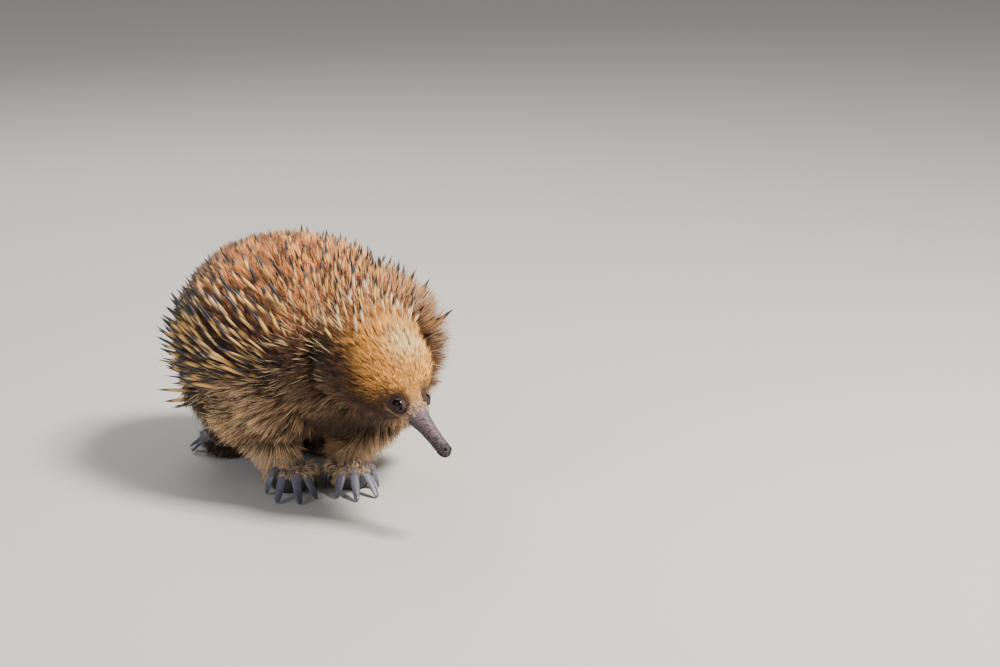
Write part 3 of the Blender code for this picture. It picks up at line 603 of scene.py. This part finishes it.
# The eyes: small wet black globes, sunk between bare wrinkled lids of purple-grey skin.
# Each eyeball is a sphere, and its lids are turned as a thick ring with a fold outside it.
EYE_RADIUS = 0.0044
LID_WRINKLE = 0.0004
wet = Finish("eye_wet", roughness=0.09)
wet.colour(pigment(0.05, 0.035, 0.035))
wet.feed(wet.shader.inputs["Specular IOR Level"], 0.26)
lid_skin = Finish("lid_skin", roughness=0.5)
lid_grain = lid_skin.noise(700.0, 3.0)
lid_skin.colour(lid_skin.mix(lid_grain, pigment(0.09, 0.05, 0.045), pigment(0.29, 0.18, 0.155)))
lid_skin.bump(lid_grain, 0.0014)
for side, way in SIDES.items():
    centre = EYE_PLACES[side]
    out = (HEAD_LEFT * way * 0.93 + HEAD_UP * 0.24 + HEAD_FORWARD * 0.22).normalized()
    bm = bmesh.new()
    add_egg(bm, (EYE_RADIUS,) * 3, Matrix.Translation(centre), 40)
    eyeball = new_object("eyeball_" + side, bm)
    eyeball.data.shade_smooth()
    eyeball.data.materials.append(wet.material)
    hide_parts("eye_" + side)
    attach(eyeball, "root")
    bm = bmesh.new()
    ring = [
        bm.verts.new(spot) for spot in (
            (EYE_RADIUS * 0.90, 0.0, 0.0016), (EYE_RADIUS * 0.94, 0.0, 0.0025),
            (EYE_RADIUS * 1.02, 0.0, 0.0022), (EYE_RADIUS * 1.10, 0.0, 0.0010),
            (EYE_RADIUS * 1.18, 0.0, 0.0011), (EYE_RADIUS * 1.28, 0.0, -0.0006),
            (EYE_RADIUS * 1.36, 0.0, -0.0030), (EYE_RADIUS * 1.05, 0.0, -0.0030),
        )
    ]
    edges = [bm.edges.new(pair) for pair in zip(ring, ring[1:] + ring[:1])]
    bmesh.ops.spin(
        bm, geom=ring + edges, angle=math.tau, steps=28, use_merge=True,
        axis=UP, cent=(0.0, 0.0, 0.0),
    )
    bmesh.ops.recalc_face_normals(bm, faces=bm.faces)
    slant = axes_matrix(
        HEAD_FORWARD - HEAD_FORWARD.project(out), out.cross(HEAD_FORWARD), out, centre,
    )
    bmesh.ops.transform(bm, matrix=slant @ Matrix.Diagonal((1.20, 0.86, 1.0, 1.0)), verts=bm.verts)
    lids = new_object("lids_" + side, bm)
    rounding = lids.modifiers.new("round", "SUBSURF")
    rounding.levels = rounding.render_levels = 2
    applied(lids)
    for vert in lids.data.vertices:
        vert.co += vert.normal * LID_WRINKLE * noise.noise(vert.co * 900.0)
    lids.data.shade_smooth()
    lids.data.materials.append(lid_skin.material)
    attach(lids, "root")


# The fur: tapered tufts rooted in the skin, each bent along the lie of the coat and drawn
# towards its neighbours into locks. It is short on the face, long on back and flanks, level
# over the shoulder and turned down to the wrists. Each piece is one mesh of joined tufts.
COAT_SEED = 5
TUFT_RINGS = {"short": (0.55,), "long": (0.40, 0.75)}
BAKE_PATCH = 0.003
OFF_THE_FLOOR = 0.0005
LOCK_SHARE = 0.14
random_draw = np.random.default_rng(COAT_SEED)


def rising(value, low, high):
    """From 0 at low to 1 at high, softly, for whole arrays."""
    share = np.clip((value - low) / (high - low), 0.0, 1.0)
    return share * share * (3.0 - 2.0 * share)


def unit(vectors):
    return vectors / np.maximum(np.linalg.norm(vectors, axis=1, keepdims=True), 1e-9)


def flattened(vectors, normals):
    """Vectors laid into the plane of the skin."""
    return vectors - normals * np.sum(vectors * normals, axis=1, keepdims=True)


def surface_of(obj):
    """Corners of every triangle of a mesh."""
    mesh = obj.data
    mesh.calc_loop_triangles()
    points = np.empty(len(mesh.vertices) * 3, np.float32)
    mesh.vertices.foreach_get("co", points)
    corners = np.empty(len(mesh.loop_triangles) * 3, np.int32)
    mesh.loop_triangles.foreach_get("vertices", corners)
    return points.reshape(-1, 3).astype(float)[corners.reshape(-1, 3)]


def scattered(triangles, density):
    """Random places on triangles, so many to a square metre, with their normals."""
    a, b, c = triangles[:, 0], triangles[:, 1], triangles[:, 2]
    cross = np.cross(b - a, c - a)
    area = np.linalg.norm(cross, axis=1) / 2
    wanted = density((a + b + c) / 3, unit(cross)) * area
    count = np.floor(wanted + random_draw.random(len(area))).astype(int)
    which = np.repeat(np.arange(len(area)), count)
    s, t = random_draw.random((2, len(which)))
    over = s + t > 1.0
    s[over], t[over] = 1.0 - s[over], 1.0 - t[over]
    roots = a[which] + s[:, None] * (b - a)[which] + t[:, None] * (c - a)[which]
    return roots, unit(cross)[which]


def on_axes(points):
    """Behind the beak's root, out to either side, and above, in the head's own axes."""
    offset = points - np.array(BEAK_ROOT)
    return (
        -offset @ np.array(HEAD_FORWARD), np.abs(offset @ np.array(HEAD_LEFT)),
        offset @ np.array(HEAD_UP),
    )


def spine_edge(points):
    """The lowest height at which spines grow, along the trunk."""
    behind = points[:, 1] - SHOULDERS.y - 0.014
    return np.where(behind < 0.0, 0.100 - 0.50 * behind, np.maximum(0.100 - 0.40 * behind, 0.054))


def leg_share(points, joints):
    """How much a place belongs to either of a pair of legs."""
    share = np.zeros(len(points))
    for side in SIDES:
        upper, middle, lower = (np.array(joint) for joint in joints(side))
        for start, end in ((upper * 0.3 + middle * 0.7, middle), (middle, lower * (1, 1, 0))):
            line = end - start
            spot = np.clip((points - start) @ line / (line @ line), 0.0, 1.0)
            away = np.linalg.norm(points - start - spot[:, None] * line, axis=1)
            share = np.maximum(share, 1.0 - rising(away, 0.030, 0.042))
    return share * (1.0 - rising(points[:, 2], 0.070, 0.095))


def blended(base, other, share):
    return base * (1.0 - share[:, None]) + other * share[:, None]


def ruff(points):
    """Where the coat stands out beside the neck, on the side to which the head turns."""
    across = rising(points[:, 0], 0.022, 0.050) * rising(points[:, 2], 0.075, 0.100)
    return across * (1.0 - rising(np.abs(points[:, 1] + 0.058), 0.026, 0.050))


def ear_tuft(points):
    """The pale tufts that stand behind and above the ears."""
    away = [np.linalg.norm(points - np.array(place), axis=1) for place in EAR_TUFTS.values()]
    return 1.0 - rising(np.min(away, axis=0), 0.005, 0.011)


def lie_of_coat(points, normals):
    """The way each tuft points, with its lift off the skin."""
    back, up = np.array(BACKWARD), np.array(UP)
    flank = np.abs(normals[:, :1])
    climb = np.clip((points[:, 2:] - 0.062) / 0.055, 0.12, 1.0)
    standing = normals * 0.50 + back * (0.34 + 0.36 * flank) + up * 0.45 * flank * climb
    behind = np.clip((points[:, 1:2] - SHOULDERS.y) / 0.090, 0.0, 1.0)
    level = back * (1.0 - 0.3 * behind) - up * (0.2 + 0.5 * behind)
    lying = unit(flattened(level, normals)) + normals * 0.45
    spiny = rising(points[:, 2] - spine_edge(points), -0.014, 0.012)
    lie = blended(unit(lying), unit(standing), spiny)
    front = np.clip(-1.2 * normals[:, 1:2], 0.0, 1.0)
    turned = np.clip((0.040 - points[:, 2:]) / 0.022, 0.0, 1.0)
    arm = back * (1.0 - 0.55 * turned) - up * (0.02 + 0.70 * front + 0.65 * turned)
    arm = unit(flattened(arm, normals)) + normals * (0.24 + 0.16 * turned)
    lie = blended(lie, unit(arm), leg_share(points, foreleg_joints))
    thigh = unit(flattened(back * 0.6 - up, normals)) + normals * 0.40
    lie = blended(lie, unit(thigh), leg_share(points, hindleg_joints))
    away = points - np.array(BEAK_ROOT)
    face = unit(flattened(unit(away) - up * 0.12, normals))
    reach, _, _ = on_axes(points)
    face = face + normals * (0.34 + 0.65 * rising(reach, 0.045, 0.095))[:, None]
    head = 1.0 - rising(points[:, 1], NECK_Y - 0.008, NECK_Y + 0.016)
    lie = unit(blended(lie, unit(face), head))
    lie = blended(lie, unit(normals * 0.9 + up * 0.35), 0.8 * ruff(points))
    return unit(blended(lie, unit(normals * 0.8 + up * 0.7), ear_tuft(points)))


def length_of_coat(points, normals):
    """How long the fur is."""
    spiny = rising(points[:, 2] - spine_edge(points), -0.014, 0.012)
    crest = rising(normals[:, 2], 0.45, 0.95)
    length = 0.021 * (1.0 - spiny) + (0.0165 + 0.0055 * crest) * spiny
    leg = np.maximum(leg_share(points, foreleg_joints), leg_share(points, hindleg_joints))
    length = length * (1.0 - leg) + (0.0160 + 0.0060 * rising(points[:, 2], 0.030, 0.060)) * leg
    reach, _, _ = on_axes(points)
    head = 1.0 - rising(points[:, 1], NECK_Y - 0.008, NECK_Y + 0.016)
    face = 0.0050 + 0.0085 * rising(reach, 0.004, 0.050) + 0.0015 * rising(reach, 0.045, 0.095)
    length = length * (1.0 - head) + face * head
    return length * (1.0 - ruff(points)) + 0.026 * ruff(points) + 0.004 * ear_tuft(points)


def tuft_pattern(rings, sides=3):
    """One tuft as a cone of unit size with cuts across it: its points and triangles."""
    bm = bmesh.new()
    bmesh.ops.create_cone(
        bm, cap_ends=True, segments=sides, radius1=1.0, radius2=0.0, depth=1.0,
        matrix=Matrix.Translation((0.0, 0.0, 0.5)),
    )
    for ring in rings:
        bmesh.ops.bisect_plane(
            bm, geom=bm.verts[:] + bm.edges[:] + bm.faces[:],
            plane_co=(0.0, 0.0, ring), plane_no=UP,
        )
    bmesh.ops.triangulate(bm, faces=bm.faces)
    bm.verts.index_update()
    points = np.array([vert.co[:] for vert in bm.verts])
    faces = np.array([[vert.index for vert in face.verts] for face in bm.faces])
    bm.free()
    return points, faces


def full_width(z):
    """A tuft keeps its width for most of its length and runs out to a point."""
    return 1.0 - 0.35 * z - 0.65 * z ** 3


def joined_tufts(name, pattern, roots, lies, bends, lengths, widths, flatness, normals, places, profile, tones):
    """Every tuft at its place as one mesh, with its own tone, its run and its bake patch."""
    points, faces = pattern
    across = unit(np.cross(normals, lies))
    upright = np.cross(lies, across)
    z = points[:, 2]
    narrow = profile(z) / np.maximum(1.0 - z, 1e-6)
    narrow = np.where(z > 0.999, 0.0, narrow)
    x, y = points[:, 0] * narrow, points[:, 1] * narrow * flatness
    steps = lies[:, None] * z[None, :, None] + bends[:, None] * (z ** 2)[None, :, None]
    body = roots[:, None] + steps * lengths[:, None, None]
    body += across[:, None] * (x[None, :] * widths[:, None])[..., None]
    body += upright[:, None] * (y[None, :] * widths[:, None])[..., None]
    body[..., 2] = np.maximum(body[..., 2], OFF_THE_FLOOR)
    count, size = len(roots), len(points)
    mesh = bpy.data.meshes.new(name)
    mesh.vertices.add(count * size)
    mesh.vertices.foreach_set("co", body.astype(np.float32).ravel())
    corners = (faces[None] + (np.arange(count) * size)[:, None, None]).reshape(-1, 3)
    mesh.loops.add(corners.size)
    mesh.loops.foreach_set("vertex_index", corners.astype(np.int32).ravel())
    mesh.polygons.add(len(corners))
    mesh.polygons.foreach_set("loop_start", np.arange(0, corners.size, 3, dtype=np.int32))
    mesh.update(calc_edges=True)
    run = mesh.attributes.new("run", "FLOAT", "POINT")
    run.data.foreach_set("value", np.tile(z, count).astype(np.float32))
    tone = mesh.attributes.new("tone", "FLOAT", "POINT")
    tone.data.foreach_set("value", np.repeat(tones, size).astype(np.float32))
    patch = np.stack([points[:, 0] * 0.5, z - 0.5], 1) * BAKE_PATCH
    spots = (places[:, None] + patch[None]).reshape(-1, 2)[corners.ravel()]
    mesh.uv_layers.new(name="OFBake").data.foreach_set("uv", spots.astype(np.float32).ravel())
    mesh.shade_smooth()
    made = bpy.data.objects.new(name, mesh)
    bpy.context.scene.collection.objects.link(made)
    return made


def unwrapped(points, centre, axis):
    """Longitude round an axis and angle from it, as seen from inside, spread over the map."""
    ways = unit(points - np.array(centre))
    first = np.array(axis.orthogonal().normalized())
    second = np.cross(np.array(axis), first)
    turn = np.arctan2(ways @ first, ways @ second)
    spots = np.stack([turn, np.arccos(np.clip(ways @ np.array(axis), -1.0, 1.0))], 1)
    low, high = spots.min(0), spots.max(0)
    return 0.02 + 0.96 * (spots - low) / (high - low)


def locks_of(roots, share):
    """For each tuft, the tuft in the middle of its lock."""
    chosen = random_draw.permutation(len(roots))[: max(int(len(roots) * share), 1)]
    tree = KDTree(len(chosen))
    for number, index in enumerate(chosen):
        tree.insert(roots[index], number)
    tree.balance()
    return np.array([chosen[tree.find(root)[1]] for root in roots])


coat_paint = Finish("fur", roughness=0.58)
run = coat_paint.attribute("run")
tone = coat_paint.attribute("tone")
# Each tuft is darker at the root and lighter at the tip: partly the hair's own colour, partly painted shade deep
# in the coat and a painted highlight on the tips. Tone adds a random lightness to each lock.
shade = 0.02 + 0.95 * coat_paint.rise(run, 0.0, 0.75) + tone * 0.58
coat_paint.colour(coat_paint.times(markings_and_painted_light(coat_paint, tone), shade))


def coat(name, triangles, density, pattern, width, wander, draw, centre, axis, lay=None):
    """Grows one piece of fur on part of the skin; centre and axis are those of its bake map."""
    roots, normals = scattered(triangles, density)
    lies, lengths = (lay or (lambda p, n: (lie_of_coat(p, n), length_of_coat(p, n))))(roots, normals)
    middle = locks_of(roots, LOCK_SHARE)
    own = random_draw.normal(0.0, wander, roots.shape)
    lies = unit(lies + own * 0.5 + own[middle] * 0.9)
    lengths = lengths * random_draw.uniform(0.72, 1.18, len(roots))
    ends = roots + lies * lengths[:, None]
    share = draw * random_draw.uniform(0.5, 1.0, len(roots))
    pull = (ends[middle] - ends) * share[:, None] / lengths[:, None]
    bends = pull - normals * 0.10 - np.array(UP) * 0.05 + own[middle][:, ::-1] * 0.6
    tones = random_draw.random(len(roots))
    tones += (tones[middle] - tones) * min(1.5 * draw, 1.0)
    sunk = roots - normals * 0.0008
    widths = width * random_draw.uniform(0.7, 1.25, len(roots))
    made = joined_tufts(
        name, pattern, sunk, lies, bends, lengths, widths, 0.5, normals,
        unwrapped(roots, centre, axis), full_width, tones,
    )
    made.data.materials.append(coat_paint.material)
    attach(made, "root")
    return made


def bare(points):
    """Where no fur grows: the eyes' rims, the hollows of the ears, under the feet and the beak."""
    bald = np.zeros(len(points), bool)
    for place in EYE_PLACES.values():
        bald |= np.linalg.norm(points - np.array(place), axis=1) < 0.0047
    for place in EAR_PLACES.values():
        offset = points - np.array(place)
        bald |= np.linalg.norm(offset * (1.0, 1.0, 0.55), axis=1) < 0.0065
    bald |= points[:, 2] < 0.0135
    reach, _, _ = on_axes(points)
    return bald | (reach < 0.0005)


skin_triangles = surface_of(skin)
middles = skin_triangles.mean(1)
reach, _, _ = on_axes(middles)
is_head = middles[:, 1] < NECK_Y + 0.004
is_leg = ~is_head & (
    (np.maximum(leg_share(middles, foreleg_joints), leg_share(middles, hindleg_joints)) > 0.35)
    | (middles[:, 2] < 0.052)
)
is_trunk = ~is_head & ~is_leg
SHORT, LONG = tuft_pattern(TUFT_RINGS["short"]), tuft_pattern(TUFT_RINGS["long"])


def furred(density):
    return lambda points, normals: np.where(bare(points), 0.0, density)


TRUNK_BANDS = (-0.10, -0.02, 0.03, 0.075, 0.112, 0.25)
for number, (low, high) in enumerate(zip(TRUNK_BANDS, TRUNK_BANDS[1:]), start=1):
    band = is_trunk & (middles[:, 1] >= low) & (middles[:, 1] < high)
    coat(
        f"fur_trunk_{number}", skin_triangles[band], furred(0.66e6), SHORT, 0.00048, 0.11, 0.40,
        TRUNK, BACKWARD,
    )
HEAD_BANDS = (-1.0, -0.118, -0.090, 1.0)
for number, (low, high) in enumerate(zip(HEAD_BANDS, HEAD_BANDS[1:]), start=1):
    band = is_head & (middles[:, 1] >= low) & (middles[:, 1] < high)
    coat(
        f"fur_head_{number}", skin_triangles[band], furred(1.9e6), SHORT, 0.00027, 0.09, 0.20,
        on_head(0.050, 0.0, 0.0), -HEAD_FORWARD,
    )
for kind, joints, front in (("fore", foreleg_joints, True), ("hind", hindleg_joints, False)):
    for side, way in SIDES.items():
        band = is_leg & ((middles[:, 1] < 0.030) == front) & (middles[:, 0] * way > 0.0)
        coat(
            f"fur_{kind}leg_{side}", skin_triangles[band], furred(0.66e6 if front else 0.50e6), LONG,
            0.00034, 0.06, 0.30, joints(side)[1], UP,
        )


def round_beak(points, normals):
    """Short and close, back from the root of the beak."""
    away = unit(flattened(np.tile(-np.array(HEAD_FORWARD), (len(points), 1)), normals))
    return unit(away + normals * 0.40), np.full(len(points), 0.0042)


def on_beak_root(points, normals):
    """The first few millimetres of the beak, with a ragged edge."""
    reach, _, above = on_axes(points)
    edge = -0.0045 - 0.35 * above + random_draw.normal(0.0, 0.0012, len(points))
    return np.where((reach > edge) & (reach < 0.004), 6.0e6, 0.0)


coat(
    "fur_beak_root", surface_of(beak), on_beak_root, SHORT, 0.00017, 0.12, 0.02,
    on_head(0.004, 0.0, 0.0), HEAD_FORWARD, round_beak,
)
TOP_OF_PAW = 0.0095
BARE_TOE = 0.0105
for paw, foot, kind, side in paws:
    ends = [line[0] for name, line in toe_lines.items() if name.startswith(f"claw_{kind}_{side}")]
    outer = np.array(ends[-1])

    longer = 0.0035 if kind == "hind" else 0.0

    def over_paw(points, normals, foot=np.array(foot), longer=longer):
        """Over the knuckles, out from the middle of the foot and down, longest at the wrist."""
        out = (points - foot) * (1.0, 1.0, 0.0)
        lies = unit(unit(flattened(unit(out) * 1.0 - np.array(UP) * 0.35, normals)) + normals * 0.32)
        reach = np.linalg.norm(out, axis=1)
        return lies, 0.0105 + longer - 0.0050 * rising(reach, 0.010, 0.024)

    def on_paw(points, normals, outer=outer, foot=np.array(foot), longer=longer):
        """Everywhere but on the outer toe, the soles and the ends of the toes."""
        away = np.linalg.norm(points - outer, axis=1)
        reach = np.linalg.norm((points - foot)[:, :2], axis=1)
        grows = (points[:, 2] > TOP_OF_PAW - longer) & (normals[:, 2] > -0.05) & (reach < 0.0235)
        return np.where(grows & (away > BARE_TOE), 1.1e6, 0.0)

    coat(
        f"fur_{kind}paw_{side}", surface_of(paw), on_paw, SHORT, 0.00034, 0.09, 0.22,
        foot, UP, over_paw,
    )


# The spines: hollow, stiff hairs of horn, cream in the middle and slate at the tip.
# They stand near upright on the back and lean back and up on the flanks. Each is turned
# as a rod that keeps its width and narrows to a point, and is set deep in the skin.
SPINE_SPACING = 0.0077
SPINE_RADIUS = 0.00155


def spine_width(z):
    """Thin at the root, full in the middle, and drawn out to a point."""
    return np.minimum(0.6 + 1.6 * z, 1.0) * np.where(z < 0.5, 1.0, 1.0 - (np.maximum(z - 0.5, 0.0) / 0.5) ** 1.6)


def spine_reach(points):
    """How far the spines stand above the solid core."""
    low = np.clip((0.118 - points[:, 2]) / 0.045, 0.0, 1.0)
    front = np.clip((TRUNK.y - 0.030 - points[:, 1]) / 0.040, 0.0, 1.0)
    behind = np.clip((points[:, 1] - TRUNK.y - 0.020) / 0.060, 0.0, 1.0)
    high = np.clip((points[:, 2] - 0.105) / 0.030, 0.0, 1.0)
    crest = np.clip((points[:, 2] - 0.145) / 0.025, 0.0, 1.0) * (1.0 - front)
    rear = np.clip((points[:, 1] - 0.115) / 0.025, 0.0, 1.0)
    reach = 0.0192 + 0.005 * low + 0.003 * front - 0.002 * crest
    return reach + (0.002 * low - 0.0075 * high) * behind * (1.0 - rear) + 0.003 * rear


def spines_grow(points, normals):
    """On the back and flanks, and over the nape down to the crown."""
    reach, _, above = on_axes(points)
    nape = (points[:, 1] < NECK_Y + 0.010) & (reach > 0.076 - 0.5 * np.clip(above, -0.01, 0.03)) & (above > -0.012)
    edge = spine_edge(points) - 0.004 - 0.024 * ruff(points)
    trunk = (points[:, 1] >= NECK_Y + 0.010) & (points[:, 1] < 0.160) & (points[:, 2] > edge)
    ears = [np.linalg.norm(points - np.array(place), axis=1) for place in EAR_PLACES.values()]
    clear = (np.min(ears, axis=0) > 0.0125) & (ear_tuft(points) < 0.5)
    return np.where((nape | trunk) & clear, 0.25e6, 0.0)


tries, try_normals = scattered(skin_triangles, spines_grow)
order = random_draw.permutation(len(tries))
kept = []
cells = {}
for index in order:
    point = tries[index]
    cell = tuple(np.floor(point / SPINE_SPACING).astype(int))
    near = [
        other for dx in (-1, 0, 1) for dy in (-1, 0, 1) for dz in (-1, 0, 1)
        for other in cells.get((cell[0] + dx, cell[1] + dy, cell[2] + dz), ())
    ]
    if all(np.linalg.norm(tries[other] - point) > SPINE_SPACING for other in near):
        cells.setdefault(cell, []).append(index)
        kept.append(index)
roots, normals = tries[kept], try_normals[kept]
thin = 0.60 * rising(roots[:, 1], -0.010, 0.040) * (1.0 - rising(roots[:, 2], 0.085, 0.105))
thin *= 1.0 - rising(normals[:, 1], 0.35, 0.65)
thin = np.maximum(thin, 0.45 * rising(roots[:, 2], 0.145, 0.165) * rising(roots[:, 1], -0.030, 0.010))
left_in = random_draw.random(len(roots)) > thin
roots, normals = roots[left_in], normals[left_in]
flank = np.abs(normals[:, :1])
climb = np.clip((roots[:, 2:] - 0.062) / 0.055, 0.12, 1.0)
front = np.clip((TRUNK.y - 0.030 - roots[:, 1:2]) / 0.050, 0.0, 1.0)
lies = unit(
    normals * (0.52 + 0.30 * front) + np.array(BACKWARD) * (0.27 + 0.36 * flank)
    + np.array(UP) * 0.55 * flank * climb
)
nape = 1.0 - rising(roots[:, 1], NECK_Y - 0.004, NECK_Y + 0.030)
lies = blended(lies, unit(normals * 0.45 + np.array(UP) * 0.75 + np.array(BACKWARD) * 0.35), nape)
lies = blended(lies, unit(normals * 0.9 + np.array(UP) * 0.40), 0.8 * ruff(roots))
lies = unit(lies + random_draw.normal(0.0, 0.09, roots.shape))
lift = np.maximum(np.sum(lies * normals, axis=1), 0.35)
lengths = np.clip((spine_reach(roots) + TRUNK_DEPTH) / lift, 0.018, 0.044)
lengths = lengths * (1.0 - nape) + (0.030 + 0.004 * ruff(roots)) * nape
lengths *= random_draw.uniform(0.78, 1.12, len(roots))
bends = random_draw.normal(0.0, 0.02, roots.shape) - normals * 0.04
widths = SPINE_RADIUS * random_draw.uniform(0.62, 1.18, len(roots)) * (1.0 - 0.28 * nape)
spines = joined_tufts(
    "spines", tuft_pattern((0.12, 0.35, 0.55, 0.72, 0.86, 0.95), 7), roots - normals * 0.002, lies, bends,
    lengths, widths, 1.0, normals, unwrapped(roots, TRUNK, BACKWARD), spine_width,
    0.75 * random_draw.random(len(roots)) + 0.25 * nape,
)
horn = Finish("spine_horn", roughness=0.38)
run = horn.attribute("run")
tone = horn.attribute("tone")
band = horn.mix(
    horn.rise(run, 0.12, 0.48), pigment(0.46, 0.30, 0.17), pigment(0.92, 0.72, 0.41),
)
band = horn.mix(horn.rise(tone, 0.50, 1.0) * 0.75, band, pigment(0.97, 0.91, 0.78))
tip = horn.rise(run + tone * 0.16 + (1.0 - horn.rise(tone, 0.10, 0.20)) * 0.40, 0.66, 0.84)
horn.colour(horn.mix(tip, band, pigment(0.14, 0.135, 0.165)))
spines.data.materials.append(horn.material)
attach(spines, "root")


# Thin pale guard hairs: they run on below the last spines, over the shoulder and the flank.
def hairs_grow(points, normals):
    """In a band under the spines, from the ear to the rump, and sparsely over the nape."""
    below = spine_edge(points) - points[:, 2]
    band = rising(below, -0.030, -0.004) * (1.0 - rising(below, 0.020, 0.045))
    reach, _, above = on_axes(points)
    nape = 0.8 * rising(reach, 0.052, 0.080) * (points[:, 1] < NECK_Y + 0.010) * (above > -0.026)
    return 0.040e6 * np.maximum(band * (points[:, 1] > NECK_Y), nape)


roots, normals = scattered(skin_triangles, hairs_grow)
lies = unit(lie_of_coat(roots, normals) + random_draw.normal(0.0, 0.09, roots.shape))
lengths = (length_of_coat(roots, normals) + 0.004) * random_draw.uniform(0.8, 1.2, len(roots))
bends = random_draw.normal(0.0, 0.06, roots.shape) - normals * 0.10
hairs = joined_tufts(
    "guard_hairs", LONG, roots, lies, bends, lengths,
    0.00050 * random_draw.uniform(0.6, 1.3, len(roots)), 0.8, normals,
    unwrapped(roots, TRUNK, BACKWARD), full_width, random_draw.random(len(roots)),
)
pale_horn = Finish("guard_hair", roughness=0.45)
run = pale_horn.attribute("run")
tone = pale_horn.attribute("tone")
pale_horn.colour(pale_horn.mix(
    pale_horn.rise(run + tone * 0.3, 0.15, 0.75), pigment(0.30, 0.20, 0.14), pigment(0.95, 0.82, 0.62),
))
hairs.data.materials.append(pale_horn.material)
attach(hairs, "root")


# The ears: upright slits on the sides of the head, each a low cup of gristle lined with
# dark skin, half hidden in the fur. Each cup is a hollow half egg with a rolled rim.
ear_skin = Finish("ear_skin", roughness=0.7)
ear_skin.colour(ear_skin.mix(ear_skin.noise(300.0), pigment(0.08, 0.05, 0.045), pigment(0.24, 0.16, 0.13)))
for side, way in SIDES.items():
    out = HEAD_LEFT * way
    upright = (UP - UP.project(out)).normalized()
    place = axes_matrix(upright.cross(out), upright, out, EAR_PLACES[side] - out * 0.0040)
    bm = bmesh.new()
    add_egg(bm, (1.0, 1.0, 1.0), Matrix.Identity(4), 28)
    bmesh.ops.bisect_plane(
        bm, geom=bm.verts[:] + bm.edges[:] + bm.faces[:], plane_co=(0.0, 0.0, 0.35),
        plane_no=UP, clear_outer=True,
    )
    shape = place @ Matrix.Diagonal((0.0072, 0.0150, 0.0056, 1.0))
    bmesh.ops.transform(bm, matrix=shape, verts=bm.verts)
    ear = new_object("ear_cup_" + side, bm)
    wall = ear.modifiers.new("wall", "SOLIDIFY")
    wall.thickness = 0.0012
    wall.offset = -1.0
    rounding = ear.modifiers.new("round", "SUBSURF")
    rounding.levels = rounding.render_levels = 1
    ear.data.shade_smooth()
    ear.data.materials.append(ear_skin.material)
    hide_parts("ear_" + side)
    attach(ear, "root")


# The studio: a pale floor, a broad soft light high on the left, a weaker one from the
# right, and a lens as far off as the photograph's, level with a person crouching.
floor = bmesh.new()
bmesh.ops.create_grid(floor, x_segments=1, y_segments=1, size=20.0)
ground = new_object("floor", floor)
plain = Finish("floor_paper", roughness=0.9)
plain.colour((0.62, 0.60, 0.57, 1.0))
ground.data.materials.append(plain.material)
world = bpy.data.worlds.new("studio")
world.use_nodes = True
world.node_tree.nodes["Background"].inputs["Color"].default_value = (0.92, 0.95, 1.0, 1.0)
world.node_tree.nodes["Background"].inputs["Strength"].default_value = 0.24
bpy.context.scene.world = world
for name, place, size, power, tint in (
    ("key", (0.62, -0.85, 1.60), 0.5, 72.0, (1.0, 0.95, 0.86)),
    ("fill", (-1.5, -0.25, 1.0), 1.0, 9.0, (0.92, 0.96, 1.0)),
    ("rim", (0.3, 1.3, 1.2), 0.9, 12.0, (1.0, 0.97, 0.92)),
):
    lamp = bpy.data.lights.new(name, "AREA")
    lamp.size = size
    lamp.energy = power
    lamp.color = tint
    light = bpy.data.objects.new(name, lamp)
    light.location = place
    light.rotation_euler = (TRUNK - Vector(place)).to_track_quat("-Z", "Y").to_euler()
    bpy.context.scene.collection.objects.link(light)

LENS = 100.0
AZIMUTH = math.radians(-27.0)
ELEVATION = math.radians(15.0)
AIM = Vector((-0.008, 0.0136, 0.09))
lens = bpy.data.cameras.new("lens")
lens.lens = LENS
lens.sensor_width = 36.0
camera = bpy.data.objects.new("camera", lens)
bpy.context.scene.collection.objects.link(camera)
back = Vector((
    math.sin(AZIMUTH) * math.cos(ELEVATION), -math.cos(AZIMUTH) * math.cos(ELEVATION),
    math.sin(ELEVATION),
))
right = Vector((math.cos(AZIMUTH), math.sin(AZIMUTH), 0.0))
upward = back.cross(right)
camera.location = AIM + back * 2.222
target = AIM + right * 0.16 + upward * 0.0252
camera.rotation_euler = (target - camera.location).to_track_quat("-Z", "Y").to_euler()
bpy.context.scene.camera = camera
